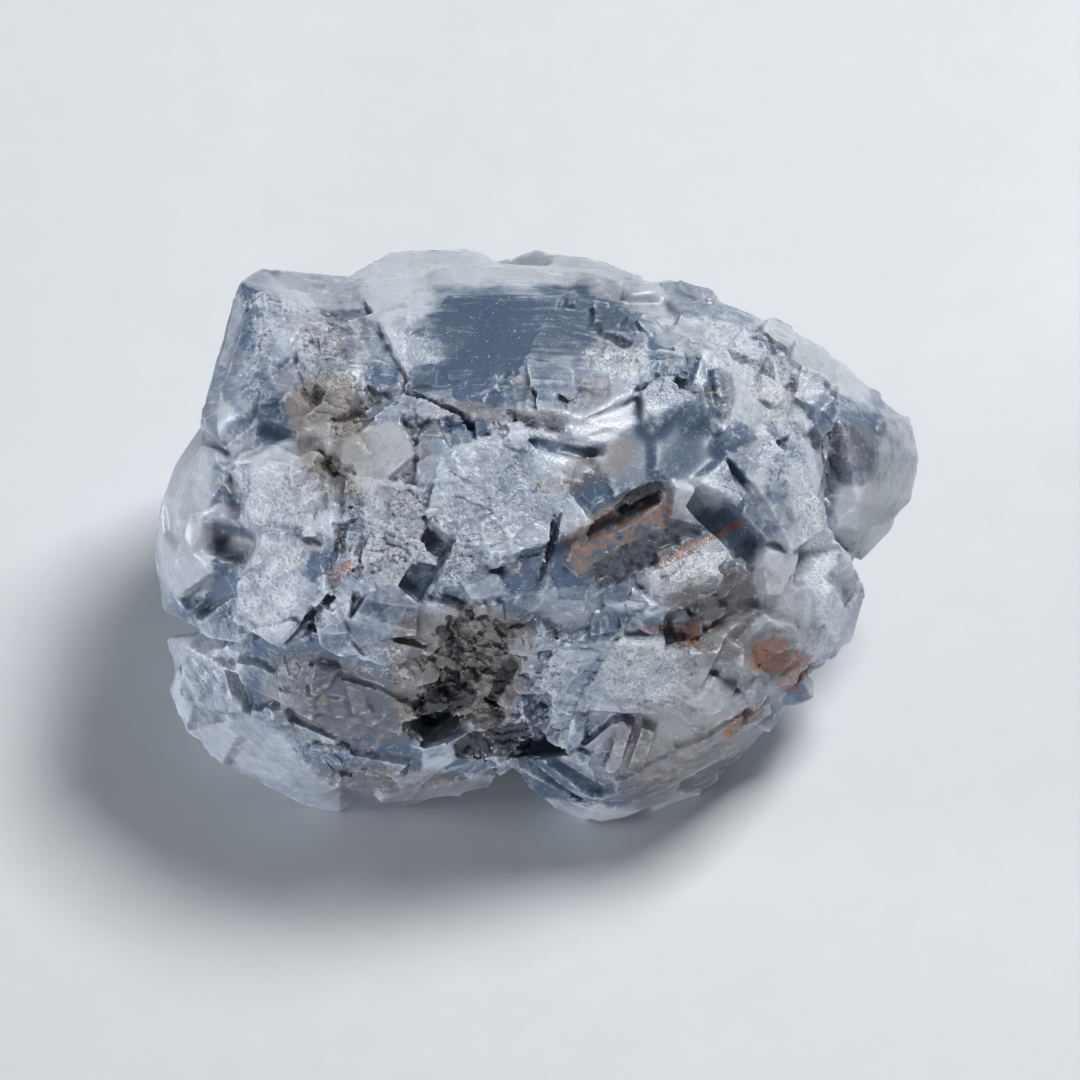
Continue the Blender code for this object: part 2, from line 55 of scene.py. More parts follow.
import bmesh
import bpy
import numpy as np
from mathutils import Vector
from mathutils.bvhtree import BVHTree

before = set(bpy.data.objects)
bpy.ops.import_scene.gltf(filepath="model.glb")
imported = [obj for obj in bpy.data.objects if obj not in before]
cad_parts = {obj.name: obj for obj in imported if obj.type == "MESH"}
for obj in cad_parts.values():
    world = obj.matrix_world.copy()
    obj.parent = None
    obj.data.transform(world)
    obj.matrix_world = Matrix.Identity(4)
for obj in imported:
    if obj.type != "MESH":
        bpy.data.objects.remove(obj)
CAD_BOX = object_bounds()

NODE = "blue_calcite"
PIECE = "calcite_surface"
MM = 0.001

# The layout that the solid was drawn in: right, up and out of the picture plane. The picture
# is seen from this many degrees above the floor, and its middle lies here, in mm.
VIEW_HEIGHT_DEG = 55
LAYOUT_MIDDLE = (-0.1000, 4.1419, 21.8)


def linear(hex_colour):
    """An sRGB hex colour as linear red, green, blue and alpha."""
    values = [int(hex_colour[i:i + 2], 16) / 255 for i in (1, 3, 5)]
    return [v / 12.92 if v <= 0.04045 else ((v + 0.055) / 1.055) ** 2.4 for v in values] + [1.0]


def colour_of(hex_colour, name, description):
    """A colour that a user can change."""
    return bpy.props.FloatVectorProperty(
        name=name, description=description, subtype="COLOR", size=4, min=0, max=1,
        default=linear(hex_colour),
    )


def size_of(default_mm, name, description):
    """A length that a user can change."""
    return bpy.props.FloatProperty(
        name=name, description=description, subtype="DISTANCE", unit="LENGTH",
        default=default_mm * MM, min=0,
    )


class CalciteSizes(bpy.types.PropertyGroup):
    """The sizes of the finer breakage"""

    voxel: size_of(0.19, "Cell", "Size of the cells that the skin is rebuilt from")
    chip_small: size_of(0.7, "Smallest chip", "Edge of the smallest broken chips")
    chip_large: size_of(3.8, "Largest chip", "Edge of the largest broken chips")
    step: size_of(0.55, "Cleavage step", "Height of the ledges left by cleavage")
    facet: size_of(1.5, "Broken facet", "Width of the small facets of rough breaks")
    sugar: size_of(0.5, "Sugar grain", "Width of the crystals in sugary breaks")
    block: size_of(2.8, "Cleavage block", "Width of the flat-topped blocks between cleavage cracks")
    chips: bpy.props.IntProperty(
        name="Chips", description="How many small chips cling to the stone", default=3400, min=0
    )
    triangles: bpy.props.IntProperty(
        name="Triangles", description="Most triangles in the finished skin",
        default=196000, min=1000,
    )
    seed: bpy.props.IntProperty(name="Seed", description="Start of every random draw", default=7)


class CalciteColours(bpy.types.PropertyGroup):
    """The colours of the stone and of the floor"""

    pale: colour_of("#C4CDDA", "Pale blue", "Cloudy parts near the surface")
    deep: colour_of("#566A85", "Deep blue", "Clear parts that show the stone's depth")
    # Partly painted glow: on the rims this pale colour stands in for light through thin edges.
    milk: colour_of("#D2D8DD", "Milky skin", "Worn rims and bulges")
    # Also painted on as glints: the rims of etched scales and fine flecks.
    frost: colour_of("#F1F4F7", "Frost", "Bruised edges and sugary grains")
    clay: colour_of("#908881", "Clay", "Fine clay in the hollows")
    rust: colour_of("#A8623A", "Rust", "Iron stains")
    crust: colour_of("#5F463A", "Rust crust", "The dark grains in the rust")
    smoke: colour_of("#776C63", "Smoky brown", "Brown tint deep inside the stone")
    # Near-black painted shade for the deepest hollows and creases.
    hollow_shade_colour: colour_of("#1D2127", "Dark hollow", "The dark of the deepest hollows")
    floor: colour_of("#E2E7E9", "Floor", "The pale surface under the stone")


# Where the stone differs from place to place, in millimetres right and up in the layout.
# Each zone: right, up, half width, half height, turn in degrees, strength.
ZONES = {
    "window": (
        (-5.4, 18.8, 5.2, 4.4, -2, 1.0), (4.4, 19.6, 5.6, 4.6, -4, 1.0),
        (1.0, 13.6, 7.5, 2.6, -4, 0.2), (-23.4, 11.0, 3.0, 2.2, 10, 0.9),
        (-19.0, 13.0, 2.2, 3.0, 10, 0.45), (-29.8, -4.8, 1.7, 2.9, -30, 0.9),
        (-27.8, 0.4, 2.2, 1.4, -12, 0.8), (-30.4, -14.5, 2.2, 2.6, 0, 0.35),
        (-25.8, -13.2, 1.1, 2.6, 6, 0.9), (-13.3, -7.8, 3.8, 3.2, 55, 0.55),
        (-17.4, -15.1, 5.8, 3.2, -12, 0.9), (-20.6, -10.8, 5.4, 2.6, -10, 0.5),
        (-24.6, -17.0, 4.2, 2.4, -34, 0.4), (-10.5, -4.0, 1.5, 3.4, -25, 0.85),
        (16.6, 1.2, 4.6, 1.9, -42, 1.0), (20.6, 4.8, 4.8, 1.6, -43, 0.35),
        (10.2, 8.0, 6.4, 3.4, 22, 1.0), (16.4, -6.0, 4.0, 2.0, 15, 0.6),
        (19.4, -11.6, 4.4, 3.2, 30, 0.7), (12.5, -20.0, 6.6, 2.6, 30, 0.7),
        (3.4, 1.6, 2.0, 4.4, -30, 0.55), (7.8, -0.6, 6.0, 3.4, 26, 0.8),
        (30.8, 8.6, 2.6, 4.2, 12, 0.75), (30.4, 3.4, 2.0, 2.4, 0, 0.5),
        (0.4, -20.6, 5.0, 2.0, -40, 0.75), (-8.6, 13.8, 1.2, 3.6, 50, 0.6),
    ),
    # Many milk zones follow the rims, where their paleness is partly painted glow.
    "milk": (
        (-3.0, 24.9, 12.5, 1.9, 0, 1.0), (8.0, 22.6, 4.0, 1.8, -18, 0.8),
        (-13.4, 22.8, 3.6, 3.0, 20, 0.9), (-32.2, 2.6, 2.8, 8.0, 2, 0.95),
        (-27.2, 8.6, 2.0, 4.4, 14, 0.6), (-31.2, -12.0, 2.2, 5.5, -6, 0.6),
        (-26.4, -18.6, 5.0, 2.4, -38, 0.55), (22.6, -3.4, 3.2, 4.6, 10, 0.9),
        (21.6, -7.6, 2.6, 2.0, 0, 0.5), (14.6, -14.6, 5.6, 2.8, 24, 0.7),
        (12.4, -18.6, 5.6, 2.2, 28, 0.5), (21.6, 3.6, 3.6, 2.2, -42, 0.7),
        (33.0, 7.0, 2.4, 7.5, -8, 0.75), (25.4, 17.0, 6.5, 1.8, -36, 0.85),
        (28.2, 0.6, 1.8, 5.0, -18, 0.7), (-14.6, 7.6, 3.2, 2.6, 30, 1.0),
        (-19.8, 23.0, 4.6, 2.0, -4, 0.9), (-13.2, 17.4, 4.4, 4.2, 30, 0.4),
        (25.0, -0.4, 1.7, 7.8, 12, 1.0), (13.6, -2.4, 4.2, 1.7, 24, 1.0),
        (9.6, -11.6, 4.2, 3.2, -10, 0.8), (-24.0, -4.0, 3.2, 4.6, -14, 0.7),
        (-23.2, 4.0, 3.4, 2.6, -8, 0.8), (29.4, 2.0, 2.8, 3.2, 0, 1.0),
        (14.6, 18.4, 4.5, 2.2, -14, 0.8), (7.0, 16.4, 3.0, 1.8, -10, 0.8),
        (21.0, 12.8, 4.0, 3.4, -20, 0.8), (-29.8, -13.0, 3.0, 3.4, 0, 0.6),
        (-19.8, 2.0, 2.0, 3.2, -20, 0.5), (6.2, -26.0, 7.0, 1.6, -10, 0.8),
        (5.4, 10.6, 2.8, 1.8, 26, 0.9), (14.2, 4.0, 2.2, 1.8, 0, 0.9),
        (-22.2, 7.8, 4.2, 1.6, 26, 0.8),
    ),
    "frost": (
        (-25.0, 16.4, 1.6, 4.2, -6, 0.6), (-24.6, 21.4, 3.2, 0.8, -8, 1.0),
        (-19.4, 16.4, 2.4, 4.6, 10, 0.6), (-11.8, 17.6, 2.6, 2.8, 20, 0.45),
        (-22.6, 4.2, 3.2, 2.6, -8, 0.85), (-16.0, 3.6, 1.6, 3.0, -22, 0.7),
        (-13.6, 0.6, 3.6, 4.6, -12, 0.8), (-24.0, -4.0, 3.4, 4.8, -14, 0.9),
        (-19.4, -5.6, 1.4, 4.4, -26, 0.6), (-29.6, -12.2, 2.8, 3.0, 0, 0.6),
        (-7.6, -1.8, 2.2, 2.2, 30, 0.9), (-4.6, 3.8, 5.6, 5.0, 22, 0.3),
        (-1.2, 10.4, 4.8, 1.6, 0, 0.4), (6.6, 16.4, 3.2, 1.9, -12, 1.0),
        (10.2, 14.4, 3.4, 1.6, -16, 0.8), (16.4, 18.8, 3.6, 1.8, -14, 0.8),
        (19.4, 15.4, 4.8, 2.4, -38, 0.7), (22.0, 9.2, 2.4, 4.4, 10, 0.75),
        (25.0, -0.6, 1.5, 7.6, 12, 1.0), (26.4, -8.0, 1.3, 4.0, -14, 0.9),
        (13.6, -2.4, 4.4, 1.7, 24, 1.0), (15.6, 4.4, 1.5, 1.6, 0, 0.9),
        (9.6, -11.6, 4.6, 3.4, -10, 1.0), (0.9, -12.4, 1.6, 4.4, -14, 0.7),
        (-14.8, -10.8, 3.4, 0.7, 28, 0.8), (29.0, -1.0, 1.4, 3.6, -16, 0.6),
    ),
    "clay": (
        (-19.4, 10.4, 3.4, 4.6, 18, 0.75), (-19.4, 17.0, 2.4, 4.8, 8, 0.38),
        (13.6, -2.6, 4.0, 1.6, 24, 0.35), (22.6, 16.2, 3.4, 2.2, -36, 0.5),
        (-14.6, 6.6, 3.2, 2.4, 20, 0.5), (-12.6, -0.6, 3.0, 4.6, -12, 0.35),
        (-3.8, 11.4, 7.0, 0.9, -6, 0.7), (4.0, 6.6, 5.4, 0.9, 24, 0.5),
        (7.4, 1.2, 6.0, 2.6, 26, 0.6), (21.4, 13.0, 3.4, 3.2, -20, 0.45),
        (-5.6, -11.0, 4.8, 5.2, -18, 0.95), (-9.0, -14.0, 4.8, 3.4, 20, 0.6),
        (18.8, -8.4, 6.2, 4.8, 20, 0.3), (12.6, -18.0, 6.0, 4.0, 20, 0.5),
        (-18.6, -16.6, 5.0, 2.4, -16, 0.5), (-12.6, -22.8, 6.0, 1.6, -10, 0.55),
        (4.6, 13.6, 1.8, 1.4, 0, 0.6), (-12.0, 25.0, 3.0, 1.4, 20, 0.3),
    ),
    "rust": (
        (7.2, 1.1, 5.4, 1.7, 26, 0.62), (6.6, 1.9, 4.6, 1.0, 26, 0.6),
        (3.6, -1.6, 1.4, 2.6, -20, 0.5), (14.6, -0.2, 4.4, 0.45, 27, 1.0),
        (12.6, -7.8, 4.2, 0.45, 4, 0.7), (13.2, -8.8, 1.3, 1.1, 20, 1.0),
        (20.8, -10.4, 1.9, 1.5, 10, 1.0), (23.2, -12.0, 1.3, 2.2, -20, 0.8),
        (18.6, -16.2, 2.4, 0.9, 34, 0.7), (-18.0, -3.0, 1.4, 0.8, 20, 0.75),
        (4.4, 13.8, 1.3, 0.9, 0, 0.42), (-3.4, 8.6, 2.0, 0.5, 10, 0.4),
        (-1.4, -10.4, 0.9, 1.8, 0, 0.4),
    ),
    # The hollow zones are also painted near black in the material, as shade.
    "hollow": (
        (-5.2, -9.6, 3.2, 3.4, -20, 0.5), (-4.2, -18.4, 3.6, 1.4, 14, 1.0),
        (-8.6, -14.6, 3.0, 1.6, 30, 0.8), (-3.4, -12.6, 0.8, 2.6, -30, 0.8),
        (-8.2, -9.0, 0.7, 1.8, 30, 0.7), (-17.8, 0.2, 0.9, 1.6, 0, 0.7),
        (9.0, 3.8, 2.6, 0.7, 28, 0.9), (8.4, -1.6, 4.8, 1.4, 26, 0.6),
        (-9.8, 11.6, 3.6, 0.35, -38, 0.35), (-19.8, -6.2, 0.4, 3.0, -28, 0.6),
        (0.8, -1.0, 0.35, 3.6, -17, 0.8), (-3.0, 10.6, 1.5, 0.6, 0, 0.4),
    ),
    "worn": (
        (-3.0, 26.6, 15.0, 1.8, -2, 0.8), (12.0, 22.6, 8.0, 2.0, -12, 0.8),
        (-25.0, 24.4, 4.0, 1.6, -6, 0.7), (-33.6, 2.6, 2.6, 9.5, 2, 1.0),
        (-29.6, 14.0, 2.0, 7.0, -8, 0.8), (-32.4, -12.0, 2.6, 6.5, -6, 0.8),
        (-26.0, -20.0, 7.5, 2.6, -40, 1.0), (-13.0, -24.4, 8.0, 1.8, 4, 0.8),
        (26.0, 17.6, 8.0, 2.0, -38, 0.9), (33.4, 7.4, 3.0, 8.5, -6, 1.0),
        (29.0, -3.0, 1.8, 7.0, -6, 0.7), (23.0, -14.4, 7.0, 1.8, 52, 0.8),
        (8.0, -25.4, 8.0, 2.2, 18, 0.8),
    ),
    "smoke": (
        (-17.6, -14.2, 8.0, 3.6, -14, 0.6), (-18.4, 9.4, 3.8, 6.0, 16, 0.9),
        (-18.8, 16.4, 3.4, 5.4, 8, 0.5), (-14.0, 7.0, 4.6, 3.4, 30, 0.6),
        (-13.4, 0.4, 3.6, 4.8, -12, 0.5), (5.0, 6.4, 4.0, 1.6, 24, 0.7),
        (14.0, -3.4, 4.6, 2.2, 24, 0.5), (10.0, -12.0, 4.6, 3.4, -10, 0.45),
        (-14.2, -8.0, 5.0, 4.0, 50, 0.35), (-8.0, -12.0, 6.0, 6.0, 0, 0.9),
        (18.0, -8.0, 6.5, 6.0, 20, 0.9), (13.0, -18.5, 7.6, 5.0, 28, 0.75),
        (-23.0, 3.0, 5.0, 6.0, -10, 0.4), (-4.0, 2.0, 6.0, 5.0, 20, 0.35),
        (28.4, 6.0, 2.8, 5.0, 4, 0.6), (8.0, 0.5, 6.0, 3.6, 26, 0.6),
        (-12.0, -23.0, 9.0, 2.4, -6, 0.6), (-27.6, 1.2, 3.0, 2.4, -12, 0.5),
        (20.4, 13.6, 4.0, 4.0, -20, 0.35),
    ),
}

# How far the ragged edge of a zone strays, and the size of its bends, in mm.
ZONE_WOBBLE = 0.55
ZONE_BEND = 2.4

# The zones of the sides and the back are patches of these sizes, in mm. A patch starts where
# its noise, from -1 to 1, passes the second number.
BACK_PATCHES = {
    "window": (7.0, 0.10),
    "milk": (9.0, 0.22),
    "frost": (5.0, 0.08),
    "clay": (8.0, 0.2),
    "rust": (4.5, 0.42),
    "hollow": (4.0, 0.4),
    "worn": (9.0, 0.3),
    "smoke": (10.0, 0.1),
}
BACK_STRENGTH = 0.85

# The crystal grains of the stone: how many, the box that holds their middles, in mm, and how
# far calcite's cleavage directions lean from a right angle.
GRAINS = 16
GRAIN_BOX = ((-36, -27, -30), (36, 27, 18))
CLEAVAGE_LEAN_DEG = 15

# The great slab at the top, whose cleavage lines run level: middle and half sizes.
SLAB = (0.0, 17.5, 12.0, 8.5)

# How strongly each kind of zone is broken up: cleavage steps, facets, sugar grains.
ROUGHNESS_OF = {
    "window": (-0.5, -0.6, -1.0),
    "milk": (-0.6, -0.6, -0.9),
    "frost": (0.1, 0.2, 1.0),
    "clay": (0.2, 0.7, 0.5),
    "rust": (0.0, 0.4, 0.9),
    "hollow": (0.4, 0.7, 0.2),
    "worn": (-0.4, -0.5, -0.5),
}
BASE_STRENGTH = (0.6, 0.22, 1.0)

# Worn places are smoothed over: how many rounds, and how far each round goes.
WORN_ROUNDS = 14
WORN_SHARE = 0.7

# How much of a cleavage step's height shows, and how the patches of steps are spread, in mm.
STEP_SHARE = 0.7
STEP_PATCH = 6.0
STEP_BEND = 3.0

# Two sizes of broken facet: share of the facet size, how far it tips, and its seed.
FACETS = ((1.0, 0.17, 70), (0.45, 0.12, 80))

# The height of a sugar grain in mm, and the strength past which grains show.
SUGAR_HEIGHT = 0.16
SUGAR_START = 0.75

# The blocks between cleavage cracks: how far one stands over the next, in mm.
BLOCK_HEIGHT = 0.5
BLOCK_SEED = 140

# Where the skin is worn so soft that no ledge is left: right, up, half sizes, smoothing rounds.
MELTED = (
    (-2.6, 24.8, 11.8, 2.6, 110),
    (-27.4, -0.2, 3.4, 3.0, 40),
    (10.6, 9.0, 4.6, 3.4, 24),
    (3.2, 7.9, 3.4, 1.5, 30),
)
MELTED_SHARE = 0.8

# No chip or ledge stands out of the solid by more than this, in mm.
MOST_PROUD = 0.5

# Chips are cast in at the stone from this far off, aimed this far beside its middle, in metres.
CAST_FROM = 0.1
CAST_ASIDE = 0.008

# Triangles whose normals agree this well lie in one flat face.
SAME_FACE = 0.996

# Corners closer than this are one corner, in metres.
MERGE_GAP = 0.000001

# Edges sharper than this stay sharp.
SHARP_DEG = 38

# The seen side keeps more triangles: how readily it is thinned, against 1 for the hidden side,
# and in how many steps the one goes over into the other.
THIN_FRONT = 0.35
THIN_STEPS = 4

# The camera: lens and sensor in mm, and the width of the picture at the stone's middle, in mm.
LENS = 300
SENSOR = 36
WIDTH_SEEN = 98.4

# The soft lights: name, place in metres, side in metres, power in watts, colour.
LIGHTS = (
    ("window_light", (0.225, 0.185, 0.50), 0.18, 3.0, "#FFFFFF"),
    ("low_left_fill", (-0.60, -0.04, 0.10), 0.18, 1.8, "#F8F9FF"),
    ("low_front_fill", (-0.16, -0.60, 0.075), 0.14, 1.6, "#FAFAFF"),
)
SKY_COLOUR = "#E2E9F0"
SKY_STRENGTH = 0.09
FLOOR_SIDE = 2.4


def log(words, started):
    """Prints how far the script has come, and the seconds since it began the stone."""
    print(f"{words}: {time.time() - started:.1f} s")


def only(*objects):
    """Leaves only these objects selected, the last one active."""
    bpy.ops.object.select_all(action="DESELECT")
    for made in objects:
        made.hide_set(False)
        made.select_set(True)
    bpy.context.view_layer.objects.active = objects[-1]


def coordinates(mesh):
    """The places of the mesh's vertices, in metres."""
    values = np.empty(len(mesh.vertices) * 3, np.float32)
    mesh.vertices.foreach_get("co", values)
    return values.reshape(-1, 3).astype(np.float64)


def put_coordinates(mesh, points):
    """Moves the mesh's vertices to these places."""
    mesh.vertices.foreach_set("co", points.astype(np.float32).ravel())
    mesh.update()


def vertex_normals(mesh):
    """The way that each vertex of the mesh faces."""
    values = np.empty(len(mesh.vertices) * 3, np.float32)
    mesh.vertex_normals.foreach_get("vector", values)
    return values.reshape(-1, 3).astype(np.float64)


def edges_of(mesh):
    """The two vertices of each edge of the mesh."""
    values = np.empty(len(mesh.edges) * 2, np.int32)
    mesh.edges.foreach_get("vertices", values)
    return values.reshape(-1, 2)


def to_layout(points_mm):
    """Points of the row frame, in millimetres, as right, up and out of the picture plane."""
    lean = math.radians(VIEW_HEIGHT_DEG)
    across = points_mm[:, 0] + LAYOUT_MIDDLE[0]
    back = points_mm[:, 1] + LAYOUT_MIDDLE[1]
    high = points_mm[:, 2] - LAYOUT_MIDDLE[2]
    up = back * math.sin(lean) + high * math.cos(lean)
    out = high * math.sin(lean) - back * math.cos(lean)
    return np.stack((across, up, out), 1)


def scrambled(x, y, z, seed, count=3):
    """Random numbers from 0 to 1 that depend only on whole-number cells."""
    h = x * 73856093 ^ y * 19349663 ^ z * 83492791 ^ (seed * 2654435761)
    made = []
    for step in range(count):
        h = (h ^ (h >> 15)) * 0x2C1B3C6D + 0x9E3779B9 * (step + 1)
        h &= 0x7FFFFFFF
        h = (h ^ (h >> 12)) * 0x297A2D39
        h &= 0x7FFFFFFF
        made.append(((h >> 4) & 0xFFFF) / 65535.0)
    return made


def smooth_noise(points, size, seed):
    """Soft noise from -1 to 1 whose bumps are about this size."""
    scaled = (points / size).T
    low = np.floor(scaled).astype(np.int64)
    part = scaled - low
    ease = part * part * (3 - 2 * part)
    total = np.zeros(len(points))
    for i, j, k in np.ndindex(2, 2, 2):
        draw = scrambled(low[0] + i, low[1] + j, low[2] + k, seed, 1)[0]
        for axis, side in enumerate((i, j, k)):
            draw = draw * (ease[axis] if side else 1 - ease[axis])
        total += draw
    return total * 2 - 1


def layered_noise(points, size, seed, layers=3):
    """Soft noise with finer and fainter noise laid over it."""
    total, share, whole = np.zeros(len(points)), 1.0, 0.0
    for layer in range(layers):
        total += share * smooth_noise(points, size / 2 ** layer, seed + layer * 17)
        whole += share
        share *= 0.55
    return total / whole


def nearest_cell(points, size, seed):
    """The nearest scattered point to each place: the way to it, and three draws of its own."""
    scaled = (points / size).T
    home = np.floor(scaled - 0.5).astype(np.int64)
    best = np.full(len(points), 1e9)
    offset = np.zeros((3, len(points)))
    chosen = home.copy()
    for step in np.ndindex(2, 2, 2):
        cell = home + np.array(step)[:, None]
        away = scaled - cell - 0.15 - 0.7 * np.stack(scrambled(*cell, seed))
        # Flat-sided cells: mostly the greatest of the three distances and not the round one.
        size_of_each = np.abs(away)
        reach = size_of_each.max(0) * 0.75 + size_of_each.sum(0) * 0.25
        nearer = reach < best
        best = np.where(nearer, reach, best)
        offset = np.where(nearer, away, offset)
        chosen = np.where(nearer, cell, chosen)
    return offset.T * size, np.stack(scrambled(*chosen, seed + 101), 1)


def grain_turns(seed):
    """The turns of the crystal grains, each three cleavage directions at 75 and 105 degrees."""
    dice = np.random.default_rng(seed)
    made = []
    for _ in range(GRAINS):
        axes = np.linalg.qr(dice.normal(size=(3, 3)))[0]
        lean = math.sin(math.radians(CLEAVAGE_LEAN_DEG)) / 2
        skewed = axes + lean * (axes[[1, 2, 0]] + axes[[2, 0, 1]])
        made.append(skewed / np.linalg.norm(skewed, axis=1)[:, None])
    return np.array(made)


def grain_of(points, seed):
    """Which of the crystal grains each place is in."""
    dice = np.random.default_rng(seed)
    centres = dice.uniform(*GRAIN_BOX, (GRAINS, 3))
    wobble = np.stack([smooth_noise(points, 7.0, seed + i) for i in range(3)], 1) * 2.0
    moved = points + wobble
    away = np.linalg.norm(moved[:, None, :] - centres[None], axis=2)
    return away.argmin(1)


def grain_coordinates(layout, front, seed):
    """Places along each grain's own cleavage directions, in millimetres."""
    turns = grain_turns(seed)[grain_of(layout, seed)]
    grain = np.einsum("nij,nj->ni", turns, layout)
    right, up, half_width, half_height = SLAB
    on_slab = (
        (np.abs(layout[:, 0] - right) < half_width)
        & (np.abs(layout[:, 1] - up) < half_height)
        & (front > 0.5)
    )
    grain[on_slab] = layout[on_slab]
    return grain


def zone_reach(points, zone):
    """How far out from the zone's middle each place is: its edge, a rounded box, is at 1."""
    right, up, half_width, half_height, turn, _ = zone
    du, dv = points[:, 0] - right, points[:, 1] - up
    c, s = math.cos(math.radians(turn)), math.sin(math.radians(turn))
    across = ((du * c + dv * s) / half_width) ** 2
    along = ((dv * c - du * s) / half_height) ** 2
    return np.sqrt(np.sqrt(across * across + along * along))


def zone_weights(layout, facing, seed, facet_middles=None):
    """How much of each kind of zone there is at each place, from 0 to 1.

    Clear and frosted zones tend to fill whole facets, so they are read nearer the facets'
    middles. The second result is how far each place belongs to the side that the photo shows.
    """
    found = {kind: np.zeros(len(layout)) for kind in ZONES}
    wobble_u = layered_noise(layout, ZONE_BEND, seed + 1) * ZONE_WOBBLE
    wobble_v = layered_noise(layout, ZONE_BEND, seed + 2) * ZONE_WOBBLE
    front = np.clip((facing[:, 2] + 0.25) * 3, 0, 1) * np.clip((layout[:, 2] + 14) / 5, 0, 1)
    moved = layout[:, :2] + np.stack((wobble_u, wobble_v), 1)
    settled = None if facet_middles is None else facet_middles[:, :2] * 0.5 + moved * 0.5
    for kind, zone in ((kind, zone) for kind, zones in ZONES.items() for zone in zones):
        right, up, half_width, half_height, _, strength = zone
        limit = 1.5 * (half_width + half_height)
        near = np.abs(moved - (right, up)).max(1) < limit
        near = np.nonzero(near & (front > 0))[0]
        if settled is not None and kind in ("window", "frost"):
            weight = np.clip((1.45 - zone_reach(moved[near], zone)) / 0.9, 0, 1)
            weight *= np.clip((1.2 - zone_reach(settled[near], zone)) / 0.35, 0, 1)
        else:
            weight = np.clip((1.15 - zone_reach(moved[near], zone)) / 0.3, 0, 1)
        found[kind][near] = np.maximum(found[kind][near], weight * front[near] * strength)
    return found, front


def back_weights(found, front, layout, seed):
    """Adds the same kinds of zone, scattered over the sides and the back."""
    hidden = 1 - front
    for i, (kind, (size, start)) in enumerate(BACK_PATCHES.items()):
        field = layered_noise(layout + 40.0 * i, size, seed + 31 * i)
        weight = np.clip((field - start) * 5, 0, 1)
        found[kind] = np.maximum(found[kind], weight * hidden * BACK_STRENGTH)


def facet_ids(mesh):
    """A number for each flat face of the solid: triangles that lie in one plane share it."""
    bm = bmesh.new()
    bm.from_mesh(mesh)
    bm.faces.ensure_lookup_table()
    ids = [-1] * len(bm.faces)
    count = 0
    for first in bm.faces:
        if ids[first.index] >= 0:
            continue
        reached = [first]
        ids[first.index] = count
        while reached:
            face = reached.pop()
            for edge in face.edges:
                for other in edge.link_faces:
                    if ids[other.index] < 0 and other.normal.dot(first.normal) > SAME_FACE:
                        ids[other.index] = count
                        reached.append(other)
        count += 1
    bm.free()
    return np.array(ids), count


def melted_share(layout, front, zone):
    """How far each place is worn soft by one of the MELTED zones, from 0 to 1."""
    right, up, half_width, half_height, _ = zone
    across = np.abs(layout[:, 0] - right) / half_width
    along = np.abs(layout[:, 1] - up) / half_height
    return np.clip((1.2 - np.maximum(across, along)) / 0.4, 0, 1) * front


def chip_mesh(tree, settings):
    """Many small cleavage chips, sunk in the stone's skin and turned with its grains."""
    dice = np.random.default_rng(settings.seed)
    turns = grain_turns(settings.seed)
    low, high = CAD_BOX
    middle = (low + high) / 2
    spots, faces = [], []
    while len(spots) < settings.chips:
        heading = Vector(dice.normal(size=3)).normalized()
        aside = Vector(dice.uniform(-1, 1, 3)) * CAST_ASIDE
        start = middle + aside + heading * CAST_FROM
        spot, facing, _, _ = tree.ray_cast(start, -heading)
        if spot is not None:
            spots.append(spot)
            faces.append(facing)
    places = np.array(spots) / MM
    normals = np.array(faces)
    layout = to_layout(places)
    lean = to_layout(places + normals) - layout
    weights, front = zone_weights(layout, lean, settings.seed)
    back_weights(weights, front, layout, settings.seed)
    # How likely a chip clings: often in clay and hollows, hardly on clear and worn faces.
    rough = 0.42 + 0.15 * weights["frost"] + 0.6 * weights["clay"] + 0.5 * weights["hollow"]
    rough -= 0.9 * weights["window"] + 0.6 * weights["milk"] + 0.5 * weights["worn"]
    rough += 0.25 * smooth_noise(layout, 6.0, settings.seed + 3)
    soft = np.max([melted_share(layout, front, zone) for zone in MELTED], axis=0)
    grains = grain_of(layout, settings.seed)
    verts, quads = [], []
    corners = np.array([(x, y, z) for z in (-1, 1) for y in (-1, 1) for x in (-1, 1)]) * 0.5
    sides = ((0, 2, 3, 1), (4, 5, 7, 6), (0, 1, 5, 4), (2, 6, 7, 3), (0, 4, 6, 2), (1, 3, 7, 5))
    for i in range(len(places)):
        if dice.random() > rough[i]:
            continue
        axes = turns[grains[i]]
        # The power makes most chips small.
        share = dice.random() ** 2.2
        size = settings.chip_small / MM + share * (settings.chip_large - settings.chip_small) / MM
        lengths = size * dice.uniform(0.5, 1.25, 3)
        tipped = axes + dice.normal(scale=0.06, size=(3, 3))
        box = (corners * lengths) @ tipped
        reach = (box @ normals[i]).max()
        proud = dice.uniform(0.02, 0.22) * size
        # No chip is left where the skin is worn soft.
        if soft[i] > 0:
            continue
        box += places[i] + normals[i] * (proud - reach)
        start = len(verts)
        verts.extend(box * MM)
        flip = np.linalg.det(tipped) < 0
        quads.extend([tuple(start + k for k in (q[::-1] if flip else q)) for q in sides])
    mesh = bpy.data.meshes.new("chips")
    mesh.from_pydata([tuple(v) for v in verts], [], quads)
    return mesh


